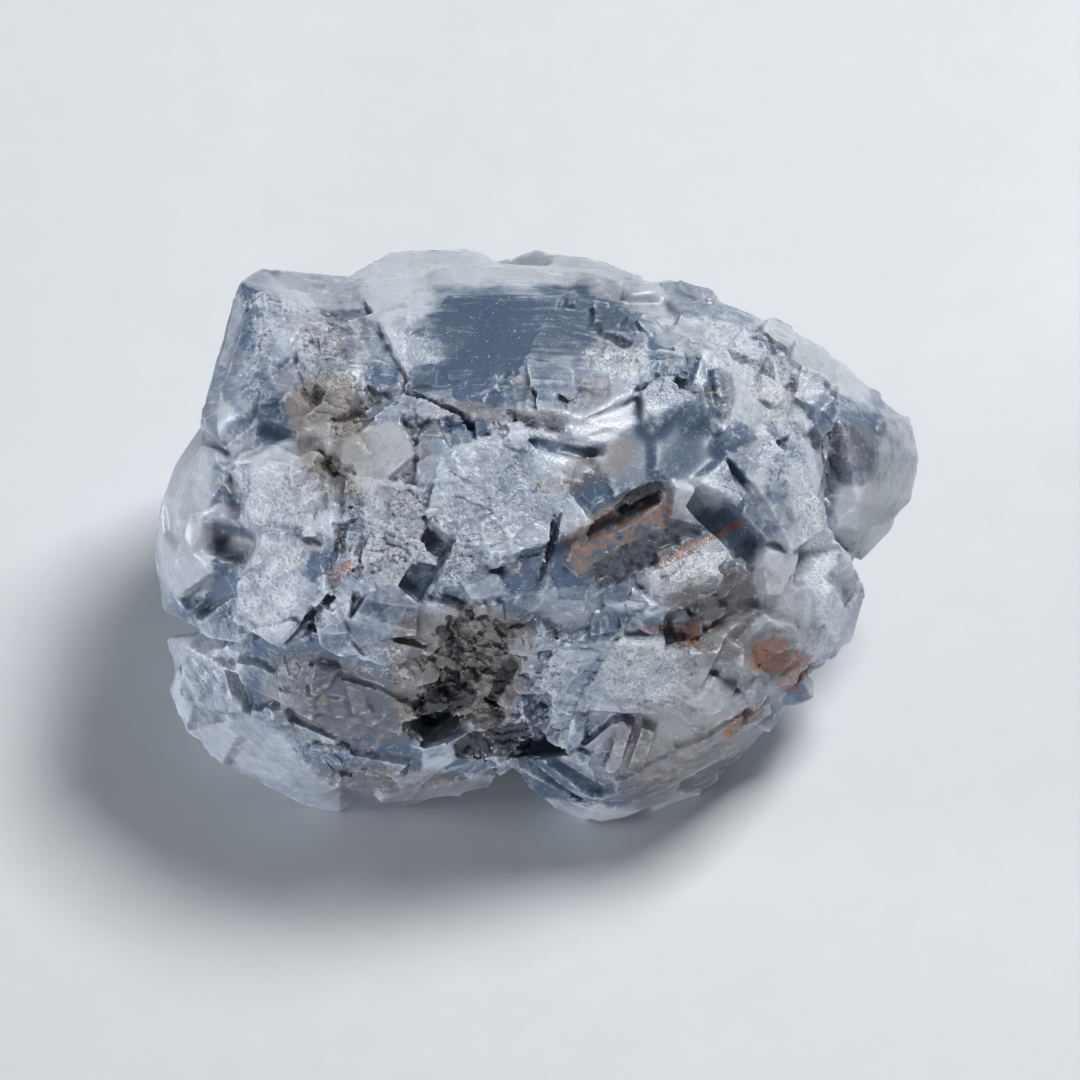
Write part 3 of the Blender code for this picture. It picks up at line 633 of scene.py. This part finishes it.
def broken_relief(layout, normals, weights, front, settings):
    """How far each place of the skin moves outwards: cleavage steps, facets and sugar grains."""
    seed = settings.seed
    turns = grain_turns(seed)
    grains = grain_of(layout, seed)
    strength = np.ones((3, len(layout))) * np.array(BASE_STRENGTH)[:, None]
    for kind, changes in ROUGHNESS_OF.items():
        for row, change in enumerate(changes):
            strength[row] += change * weights[kind]
    strength = np.clip(strength, 0, 2)
    patches = np.clip(0.25 + layered_noise(layout, STEP_PATCH, seed + 50) * 1.8, 0, 1.2)

    # Cleavage steps: the skin snaps to sheets that lie square to its grain's own directions.
    height = settings.step / MM
    axes = turns[grains]
    square = np.einsum("nij,nj->ni", axes, normals)
    best = np.abs(square).argmax(1)
    rows = np.arange(len(layout))
    sheet = axes[rows, best]
    tilt = square[rows, best]
    level = np.einsum("nj,nj->n", sheet, layout) / height
    level += layered_noise(layout, STEP_BEND, seed + 60) * 0.9
    snapped = (np.round(level) - level) * height * tilt
    relief = snapped * STEP_SHARE * np.clip(strength[0], 0, 1.2) * patches

    # Blocks: flat-topped, bounded by straight cleavage cracks, one a little prouder than the next.
    _, draws = nearest_cell(
        grain_coordinates(layout, front, seed), settings.block / MM, seed + BLOCK_SEED
    )
    relief += (draws[:, 0] - 0.5) * BLOCK_HEIGHT * strength[0]

    # Facets: each cell of a rough break is a small plane with its own tilt.
    for factor, amount, start in FACETS:
        size = settings.facet * factor / MM
        offset, draws = nearest_cell(layout, size, seed + start)
        tilts = (draws - 0.5) * 2
        relief += (
            (np.einsum("nj,nj->n", tilts, offset) * 0.55 + (draws[:, 0] - 0.5) * size * 0.3)
            * amount * 2 * strength[1]
        )

    # Sugar: rounded grains that stand close together.
    size = settings.sugar / MM
    offset, draws = nearest_cell(layout, size, seed + 90)
    away = np.linalg.norm(offset, axis=1) / size
    relief += (0.5 - away) * SUGAR_HEIGHT * np.clip(strength[2] - SUGAR_START, 0, 1.3) * 1.3
    return relief


def averaged(edges, values):
    """Each vertex's value averaged with its neighbours'."""
    total = values.copy()
    for a, b in ((0, 1), (1, 0)):
        total += np.bincount(edges[:, a], weights=values[edges[:, b]], minlength=len(values))
    return total / (np.bincount(edges.ravel(), minlength=len(values)) + 1.0)


def around(mesh, values, rounds):
    """The values averaged with their neighbours' this many times."""
    edges = edges_of(mesh)
    for _ in range(rounds):
        values = averaged(edges, values)
    return values


def bulge_of(mesh, rounds):
    """Above 0 on edges that stand out, below 0 in hollows, averaged over some rounds."""
    points = coordinates(mesh) / MM
    normals = vertex_normals(mesh)
    flat = np.stack([around(mesh, points[:, i], rounds) for i in range(3)], 1)
    return np.einsum("ij,ij->i", points - flat, normals)


def paint(mesh, name, values):
    """Writes a number for each vertex, or three, as an attribute that the material reads."""
    kind = "FLOAT" if values.ndim == 1 else "FLOAT_VECTOR"
    field = "value" if values.ndim == 1 else "vector"
    attribute = mesh.attributes.new(name, kind, "POINT")
    attribute.data.foreach_set(field, values.astype(np.float32).ravel())


def melt(points, edges, layout, front):
    """Smooths the MELTED zones much further than the rest."""
    for zone in MELTED:
        share = melted_share(layout, front, zone)
        rounds = zone[-1]
        near = share > 0
        numbers = np.cumsum(near) - 1
        inner = numbers[edges[near[edges].all(1)]]
        part = points[near]
        weight = share[near][:, None] * MELTED_SHARE
        for _ in range(rounds):
            calm = np.stack([averaged(inner, part[:, i]) for i in range(3)], 1)
            part += (calm - part) * weight
        points[near] = part


def merged_copy(solid):
    """A copy of the solid whose triangles share their corners."""
    stone = bpy.data.objects.new(PIECE, solid.data.copy())
    bpy.context.scene.collection.objects.link(stone)
    stone.data.materials.clear()
    only(stone)
    bpy.ops.object.mode_set(mode="EDIT")
    bpy.ops.mesh.select_all(action="SELECT")
    bpy.ops.mesh.remove_doubles(threshold=MERGE_GAP)
    bpy.ops.object.mode_set(mode="OBJECT")
    return stone


def break_up(stone, sizes, coarser):
    """Moves the skin to its steps, facets and grains, and smooths the worn places over."""
    places = coordinates(stone.data) / MM
    normals = vertex_normals(stone.data)
    layout = to_layout(places)
    lean = to_layout(places + normals) - layout
    weights, front = zone_weights(layout, lean, sizes.seed)
    back_weights(weights, front, layout, sizes.seed)
    relief = broken_relief(layout, lean, weights, front, sizes)
    moved = places + normals * relief[:, None]
    smooth = np.clip(weights["worn"], 0, 1)[:, None] * WORN_SHARE
    edges = edges_of(stone.data)
    for _ in range(int(WORN_ROUNDS / coarser)):
        calm = np.stack([averaged(edges, moved[:, i]) for i in range(3)], 1)
        moved += (calm - moved) * smooth
    melt(moved, edges, layout, front)
    put_coordinates(stone.data, np.clip(moved * MM, *CAD_BOX))
    return front


def thin_out(stone, front, most):
    """Leaves at most this many triangles, and more of them on the seen side."""
    # The remeshed skin is all squares, two triangles each.
    triangles = len(stone.data.polygons) * 2
    hidden = stone.vertex_groups.new(name="hidden")
    for step in range(THIN_STEPS + 1):
        share = step / THIN_STEPS
        close = np.abs(1 - front - share) <= 0.5 / THIN_STEPS
        weight = THIN_FRONT + (1 - THIN_FRONT) * share
        hidden.add([int(i) for i in np.nonzero(close)[0]], weight, "REPLACE")
    thin = stone.modifiers.new("thin", "DECIMATE")
    thin.vertex_group = hidden.name
    thin.vertex_group_factor = 1.0
    thin.ratio = min(1.0, most / triangles)
    thin.use_collapse_triangulate = True
    bpy.ops.object.modifier_apply(modifier=thin.name)


class CALCITE_OT_stone(bpy.types.Operator):
    """Break the solid's faces into the stone's own chips, ledges and grains"""

    bl_idname = "calcite.stone"
    bl_label = "Stone"

    def execute(self, context):
        started = time.time()
        sizes = context.scene.calcite_sizes
        coarser = 1.0
        stone = merged_copy(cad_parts[NODE])
        bm = bmesh.new()
        bm.from_mesh(stone.data)
        tree = BVHTree.FromBMesh(bm)
        bm.free()
        ids, count = facet_ids(stone.data)
        log("solid read", started)

        chips = bpy.data.objects.new("chips", chip_mesh(tree, sizes))
        context.scene.collection.objects.link(chips)
        only(chips, stone)
        bpy.ops.object.join()
        log("chips joined", started)

        remesh = stone.modifiers.new("skin", "REMESH")
        remesh.mode = "VOXEL"
        remesh.voxel_size = sizes.voxel * coarser
        bpy.ops.object.modifier_apply(modifier=remesh.name)
        log(f"skin of {len(stone.data.vertices)} vertices", started)

        front = break_up(stone, sizes, coarser)
        log("relief", started)

        thin_out(stone, front, sizes.triangles)
        clean_up(stone)
        held_in(stone.data, tree, MOST_PROUD * MM)
        put_coordinates(stone.data, np.clip(coordinates(stone.data), *CAD_BOX))
        log(f"{len(stone.data.polygons)} triangles", started)

        paint_zones(stone.data, tree, ids, count, sizes)
        only(stone)
        bpy.ops.object.shade_smooth_by_angle(angle=math.radians(SHARP_DEG))
        stone.data.materials.append(calcite(context.scene.calcite_colours))
        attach(stone, "root")
        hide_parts(NODE)
        log("stone", started)
        return {"FINISHED"}


def clean_up(stone):
    """Leaves one closed skin: loose crumbs of the rebuilt skin are taken away."""
    bm = bmesh.new()
    bm.from_mesh(stone.data)
    left = set(bm.verts)
    parts = []
    while left:
        found, reached = set(), [left.pop()]
        while reached:
            vert = reached.pop()
            found.add(vert)
            near = {e.other_vert(vert) for e in vert.link_edges} & left
            left -= near
            reached.extend(near)
        parts.append(found)
    keep = max(parts, key=len)
    gone = [v for v in bm.verts if v not in keep]
    bmesh.ops.delete(bm, geom=gone, context="VERTS")
    bm.to_mesh(stone.data)
    bm.free()


def held_in(mesh, tree, most):
    """Draws back what stands out of the solid by more than this, such as a chip on a sharp edge."""
    points = coordinates(mesh)
    for i, point in enumerate(points):
        spot, facing, _, away = tree.find_nearest(Vector(point))
        if away > most and (Vector(point) - spot).dot(facing) > 0:
            points[i] = spot + (Vector(point) - spot) * (most / away)
    put_coordinates(mesh, points)


def paint_zones(mesh, tree, ids, count, sizes):
    """Writes what the material reads at each vertex."""
    places = coordinates(mesh) / MM
    normals = vertex_normals(mesh)
    layout = to_layout(places)
    lean = to_layout(places + normals) - layout
    # Which flat face of the solid each vertex is nearest to, and that face's middle.
    near = np.empty(len(places), np.int64)
    for i, place in enumerate(places * MM):
        near[i] = ids[tree.find_nearest(Vector(place))[2]]
    members = np.bincount(near, minlength=count)
    middles = np.stack(
        [np.bincount(near, weights=layout[:, i], minlength=count) for i in range(3)], 1
    ) / np.maximum(members, 1)[:, None]
    weights, front = zone_weights(layout, lean, sizes.seed, middles[near])
    back_weights(weights, front, layout, sizes.seed)
    for kind, values in weights.items():
        if kind != "smoke":
            paint(mesh, kind, values)
    grain = grain_coordinates(layout, front, sizes.seed)
    paint(mesh, "grain", grain)
    _, draws = nearest_cell(grain, sizes.block / MM, sizes.seed + BLOCK_SEED)
    # Smoky brown also shows in some of the blocks and in broad clouds.
    warm = 0.5 * (draws[:, 2] > 0.72) + 0.5 * layered_noise(layout, 5.0, sizes.seed + 11, 4)
    warm = np.clip(warm, 0, 0.6) * (1 - weights["window"]) * (1 - weights["frost"])
    paint(mesh, "smoke", np.maximum(weights["smoke"], warm))
    dice = np.random.default_rng(sizes.seed + 5)
    # Each facet and each block is a little paler or darker than the next.
    tone = 0.85 * dice.uniform(-1, 1, count)[near] * (1 - 0.85 * weights["window"])
    tone += 0.5 * (draws[:, 1] * 2 - 1) * (1 - weights["window"]) * (1 - weights["worn"])
    tone += 0.8 * layered_noise(layout, 6.0, sizes.seed + 9, 4)
    paint(mesh, "tone", np.clip(tone, -1.2, 1.2))
    fine = bulge_of(mesh, 3)
    broad = bulge_of(mesh, 24)
    paint(mesh, "edge", np.clip(fine / 0.10, 0, 1) * 0.6 + np.clip(broad / 0.6, 0, 1) * 0.4)
    # Painted shade: hollows and creases get a share that the material paints darker, and that clay
    # also gathers in.
    deep = np.clip(-fine / 0.14, 0, 1) * 0.45 + np.clip(-broad / 0.7, 0, 1) * 0.55
    paint(mesh, "crevice_shade_and_clay", deep)


def add(tree, kind, links=None, **settings):
    """Adds a node. links: input name or number to a socket, a value or a colour."""
    node = tree.nodes.new(kind)
    for key, value in settings.items():
        setattr(node, key, value)
    for key, value in (links or {}).items():
        socket = node.inputs[key]
        if isinstance(value, bpy.types.NodeSocket):
            tree.links.new(value, socket)
        else:
            socket.default_value = value
    return node


def across(size_mm):
    """A texture's scale for features of this size, in a pattern read in metres."""
    return 1 / (size_mm * MM)


def calcite(colours):
    """Calcite, cleaved and broken by hand: slate blue where a cleavage face lets the eye in, waxy
    and cloudy where it is flawed inside, white where it is bruised. Painted shade darkens its
    hollows and creases, painted glints whiten its frosted grains, and painted glow pales its rims."""
    material = bpy.data.materials.new("calcite_cleaved_and_broken")
    material.use_nodes = True
    tree = material.node_tree
    tree.nodes.clear()
    place = add(tree, "ShaderNodeTexCoord").outputs["Object"]

    def read(name):
        node = add(tree, "ShaderNodeAttribute", attribute_name=name)
        return node.outputs["Vector" if name == "grain" else "Fac"]

    def maths(operation, a, b=0.0, c=0.0, clamp=False):
        node = add(tree, "ShaderNodeMath", {0: a, 1: b, 2: c}, operation=operation)
        node.use_clamp = clamp
        return node.outputs[0]

    def centred(value):
        """A pattern that runs from 0 to 1, moved to lie about 0."""
        return maths("SUBTRACT", value, 0.5)

    def sum_of(value, *parts):
        """A value plus each share times its amount, held from 0 to 1 at the end."""
        for share, amount in parts:
            value = maths("MULTIPLY_ADD", share, amount, value)
        value.node.use_clamp = True
        return value

    def noise(size_mm, detail, rough):
        node = add(tree, "ShaderNodeTexNoise", {
            "Vector": place, "Scale": across(size_mm), "Detail": detail, "Roughness": rough,
        })
        return node.outputs["Fac"]

    def ramp(value, low, high):
        node = add(tree, "ShaderNodeMapRange", {
            "Value": value, "From Min": low, "From Max": high, "To Min": 0.0, "To Max": 1.0,
        }, interpolation_type="SMOOTHSTEP")
        return node.outputs["Result"]

    def blend(share, under, over):
        node = add(tree, "ShaderNodeMix", {"Factor": share, 6: under, 7: over}, data_type="RGBA")
        return node.outputs[2]

    window, milk, frost = read("window"), read("milk"), read("frost")
    clay, rust, hollow, worn = read("clay"), read("rust"), read("hollow"), read("worn")
    smoke = read("smoke")
    edge, crevice_shade_and_clay, tone = read("edge"), read("crevice_shade_and_clay"), read("tone")

    # Streaks lie along each grain, 7 mm long and half a millimetre across. The grain
    # attribute is in millimetres.
    streak_place = add(tree, "ShaderNodeMapping", {
        "Vector": read("grain"), "Scale": (0.14, 1.9, 1.9),
    })
    streaks = add(tree, "ShaderNodeTexNoise", {
        "Vector": streak_place.outputs[0], "Scale": 1.0, "Detail": 3.0, "Roughness": 0.6,
    }).outputs["Fac"]
    # Ragged patches of about a millimetre tear the borders of every finish.
    ragged = noise(1.1, 4.0, 0.68)
    # Etched scales: the creases of a fine noise are their rims.
    swell = maths("ABSOLUTE", centred(noise(0.55, 1.0, 0.5)))
    scales = maths("SUBTRACT", 1.0, maths("MULTIPLY", swell, 6.0), clamp=True)
    # Fine grit, drawn a little coarser than the real one so that it shows.
    grit = noise(0.17, 1.0, 0.6)

    def torn(share, spread, low, high):
        """A share whose border is torn by the ragged pattern."""
        away = maths("MULTIPLY", centred(ragged), spread)
        return ramp(maths("ADD", share, away), low, high)

    # Cloudy blue, darker or paler from facet to facet and from block to block; creases and hollows
    # are painted darker as shade, and standing edges paler.
    veils = maths("MULTIPLY", window, maths("MULTIPLY_ADD", streaks, -1.5, 1.5))
    paleness = sum_of(
        0.40, (tone, 0.52), (centred(ragged), 0.7), (centred(streaks), 0.7), (worn, 0.08),
        (milk, 0.28), (veils, -0.75), (frost, 0.08), (crevice_shade_and_clay, -0.4), (edge, 0.25),
    )
    colour = blend(paleness, colours.deep, colours.pale)

    # A smoky brown shows from inside.
    inside = maths("MULTIPLY_ADD", paleness, -0.3, 0.72)
    smoky = maths("MULTIPLY", torn(smoke, 0.8, 0.2, 0.9), inside)
    colour = blend(smoky, colour, colours.smoke)

    # Milky worn skin, with faint clouds; along the rims its pale colour is partly painted glow,
    # standing in for light shining through thin edges.
    milk_and_rim_glow = torn(milk, 1.2, 0.35, 0.95)
    colour = blend(maths("MULTIPLY", milk_and_rim_glow, 0.5), colour, colours.milk)

    # Clay gathers in the hollows and among the grains.
    clay_share = sum_of(maths("MULTIPLY", torn(clay, 1.5, 0.35, 0.75), 0.9), (crevice_shade_and_clay, 0.22))
    colour = blend(maths("MULTIPLY", clay_share, 0.62), colour, colours.clay)

    # Fine cracks and healed seams: thin pale lines, fewest in clay and in clear windows.
    seam_cells = add(tree, "ShaderNodeTexVoronoi", {
        "Vector": streak_place.outputs[0], "Scale": 0.22, "Randomness": 1.0,
    }, feature="DISTANCE_TO_EDGE").outputs["Distance"]
    seams = maths("MULTIPLY", ramp(seam_cells, 0.035, 0.0), ramp(ragged, 0.42, 0.60))
    seams = maths("MULTIPLY", seams, maths("MULTIPLY_ADD", clay, -0.4, 0.42), clamp=True)
    seams = maths("MULTIPLY", seams, maths("MULTIPLY_ADD", window, -0.7, 1.0), clamp=True)
    colour = blend(seams, colour, colours.frost)

    # Frost: the rims of the etched scales are whitened, partly bruised grains and partly painted
    # glints; here and there a bruised edge turns white; fine white flecks are painted glints.
    rims = maths("MULTIPLY", ramp(scales, 0.45, 0.90), ramp(ragged, 0.40, 0.60))
    frost_and_glint_share = maths("MULTIPLY", frost, maths("MULTIPLY_ADD", rims, 0.75, 0.03))
    bruises = maths("MULTIPLY", ramp(edge, 0.30, 0.95), ramp(ragged, 0.50, 0.66))
    frost_and_glint_share = maths("MAXIMUM", frost_and_glint_share, maths("MULTIPLY", bruises, 0.6))
    painted_glint_flecks = maths("MULTIPLY", ramp(grit, 0.66, 0.75), ramp(ragged, 0.40, 0.56))
    painted_glint_flecks = maths("MULTIPLY", painted_glint_flecks, maths("MULTIPLY_ADD", worn, -0.8, 0.8))
    frost_and_glint_share = maths("MAXIMUM", frost_and_glint_share, painted_glint_flecks, clamp=True)
    # Between the scales the pits are painted in the darker blue, as shade.
    painted_pit_shade = maths("MULTIPLY", ramp(scales, 0.45, 0.10), ramp(grit, 0.60, 0.42))
    painted_pit_shade = maths("MULTIPLY", painted_pit_shade, maths("MULTIPLY_ADD", frost, 0.30, 0.10))
    colour = blend(painted_pit_shade, colour, colours.deep)
    colour = blend(maths("MULTIPLY", frost_and_glint_share, 0.85), colour, colours.frost)

    # Rust stains are crusty, with ragged edges.
    rust_share = maths("MULTIPLY", torn(rust, 1.8, 0.45, 0.8), ramp(grit, 0.36, 0.56))
    crust = blend(ramp(grit, 0.40, 0.62), colours.crust, colours.rust)
    colour = blend(maths("MULTIPLY", rust_share, 0.85), colour, crust)

    # Painted shade: the deepest hollows and the creases are painted near black.
    dark = sum_of(torn(hollow, 1.0, 0.40, 0.70), (ramp(crevice_shade_and_clay, 0.35, 0.95), 0.32))
    colour = blend(maths("MULTIPLY", dark, 0.88), colour, colours.hollow_shade_colour)

    # Freshly cleaved faces shine; frost, rust and clay are duller.
    rough = sum_of(
        0.34, (window, 0.08), (frost_and_glint_share, 0.12), (rust_share, 0.4), (clay_share, 0.25),
        (centred(grit), 0.25),
    )

    # Light passes through windows and worn skin, and not through frost, clay or rust.
    clear = sum_of(
        maths("MULTIPLY", window, 0.24), (worn, 0.12), (frost_and_glint_share, -0.35),
        (rust_share, -0.6), (clay_share, -0.4), (dark, -0.5),
    )

    # Etched scales stand out on frosted faces, and hardly on clear and worn ones.
    etched = sum_of(0.22, (frost, 0.95), (window, -0.3), (worn, -0.6))
    height = maths("MULTIPLY", scales, maths("MULTIPLY", etched, 0.55))
    height = maths("MULTIPLY_ADD", grit, maths("MULTIPLY_ADD", etched, 0.7, 0.06), height)
    bump = add(tree, "ShaderNodeBump", {
        "Height": height, "Strength": 0.7, "Distance": 0.15 * MM,
    })

    # Calcite bends light by 1.49 or 1.66, depending on its direction, so 1.58 is the middle.
    shader = add(tree, "ShaderNodeBsdfPrincipled", {
        "Base Color": colour, "Roughness": rough, "IOR": 1.58, "Normal": bump.outputs[0],
        "Transmission Weight": clear,
        "Subsurface Weight": maths("MULTIPLY_ADD", worn, 0.35, 0.12),
        "Subsurface Radius": (1.0, 1.1, 1.3), "Subsurface Scale": 0.5 * MM,
    }, subsurface_method="RANDOM_WALK")
    add(tree, "ShaderNodeOutputMaterial", {"Surface": shader.outputs[0]})
    return material


def floor_paint(colours):
    """Matt painted board: even and pale, with the faintest mottling."""
    material = bpy.data.materials.new("matt_painted_board")
    material.use_nodes = True
    tree = material.node_tree
    shader = tree.nodes["Principled BSDF"]
    place = add(tree, "ShaderNodeTexCoord").outputs["Object"]
    mottle = add(tree, "ShaderNodeTexNoise", {
        "Vector": place, "Scale": across(6.0), "Detail": 5.0, "Roughness": 0.7,
    }).outputs["Fac"]
    shade = add(tree, "ShaderNodeMapRange", {
        "Value": mottle, "From Min": 0.3, "From Max": 0.7, "To Min": 0.0, "To Max": 0.35,
    }).outputs["Result"]
    darker = [c * 0.9 for c in colours.floor[:3]] + [1]
    mixed = add(tree, "ShaderNodeMix", {
        "Factor": shade, 6: colours.floor, 7: darker,
    }, data_type="RGBA")
    tree.links.new(mixed.outputs[2], shader.inputs["Base Color"])
    shader.inputs["Roughness"].default_value = 0.85
    shader.inputs["Specular IOR Level"].default_value = 0.2
    return material


def area_light(name, place, size, power, hex_colour):
    """A soft square light that points at the stone."""
    light = bpy.data.lights.new(name, "AREA")
    light.shape = "SQUARE"
    light.size = size
    light.energy = power
    light.color = linear(hex_colour)[:3]
    made = bpy.data.objects.new(name, light)
    bpy.context.scene.collection.objects.link(made)
    made.location = place
    made.rotation_mode = "QUATERNION"
    stone_middle = Vector((0, 0, 0.02))
    made.rotation_quaternion = (stone_middle - Vector(place)).to_track_quat("-Z", "Y")


class CALCITE_OT_stage(bpy.types.Operator):
    """Lay the pale floor, hang the soft lights and set the camera"""

    bl_idname = "calcite.stage"
    bl_label = "Stage"

    def execute(self, context):
        scene = context.scene
        bpy.ops.mesh.primitive_plane_add(size=FLOOR_SIDE, location=(0, 0, 0))
        floor = context.object
        floor.name = "floor"
        floor.data.materials.append(floor_paint(scene.calcite_colours))
        world = bpy.data.worlds.new("soft_sky")
        world.use_nodes = True
        sky = world.node_tree.nodes["Background"]
        sky.inputs["Color"].default_value = linear(SKY_COLOUR)
        sky.inputs["Strength"].default_value = SKY_STRENGTH
        scene.world = world
        for light in LIGHTS:
            area_light(*light)

        camera = bpy.data.cameras.new("camera")
        camera.lens = LENS
        camera.sensor_width = SENSOR
        camera.clip_start, camera.clip_end = 0.05, 10
        eye = bpy.data.objects.new("camera", camera)
        scene.collection.objects.link(eye)
        lean = math.radians(VIEW_HEIGHT_DEG)
        back = Vector((0, -math.cos(lean), math.sin(lean)))
        up = Vector((0, math.sin(lean), math.cos(lean)))
        # The middle of the picture looks at the layout's own middle.
        middle = Vector((-LAYOUT_MIDDLE[0], -LAYOUT_MIDDLE[1], LAYOUT_MIDDLE[2]))
        distance = WIDTH_SEEN * camera.lens / camera.sensor_width
        eye.location = (middle + back * distance) * MM
        eye.rotation_mode = "QUATERNION"
        eye.rotation_quaternion = (-back).to_track_quat("-Z", "Y")
        scene.camera = eye
        scene.view_settings.view_transform = "Standard"
        return {"FINISHED"}


class CALCITE_PT_panel(bpy.types.Panel):
    """The sizes, the colours and the two operators"""

    bl_label = "Calcite"
    bl_idname = "CALCITE_PT_panel"
    bl_space_type = "VIEW_3D"
    bl_region_type = "UI"
    bl_category = "Calcite"

    def draw(self, context):
        scene = context.scene
        for group in (scene.calcite_sizes, scene.calcite_colours):
            column = self.layout.column()
            for name in group.bl_rna.properties.keys():
                if name not in ("rna_type", "name"):
                    column.prop(group, name)
        self.layout.operator("calcite.stone")
        self.layout.operator("calcite.stage")


CLASSES = (CalciteSizes, CalciteColours, CALCITE_OT_stone, CALCITE_OT_stage, CALCITE_PT_panel)


def register():
    for kind in CLASSES:
        bpy.utils.register_class(kind)
    bpy.types.Scene.calcite_sizes = bpy.props.PointerProperty(type=CalciteSizes)
    bpy.types.Scene.calcite_colours = bpy.props.PointerProperty(type=CalciteColours)


def unregister():
    del bpy.types.Scene.calcite_sizes
    del bpy.types.Scene.calcite_colours
    for kind in reversed(CLASSES):
        bpy.utils.unregister_class(kind)


def main():
    register()
    bpy.ops.calcite.stone()
    bpy.ops.calcite.stage()


if __name__ == "__main__":
    main()
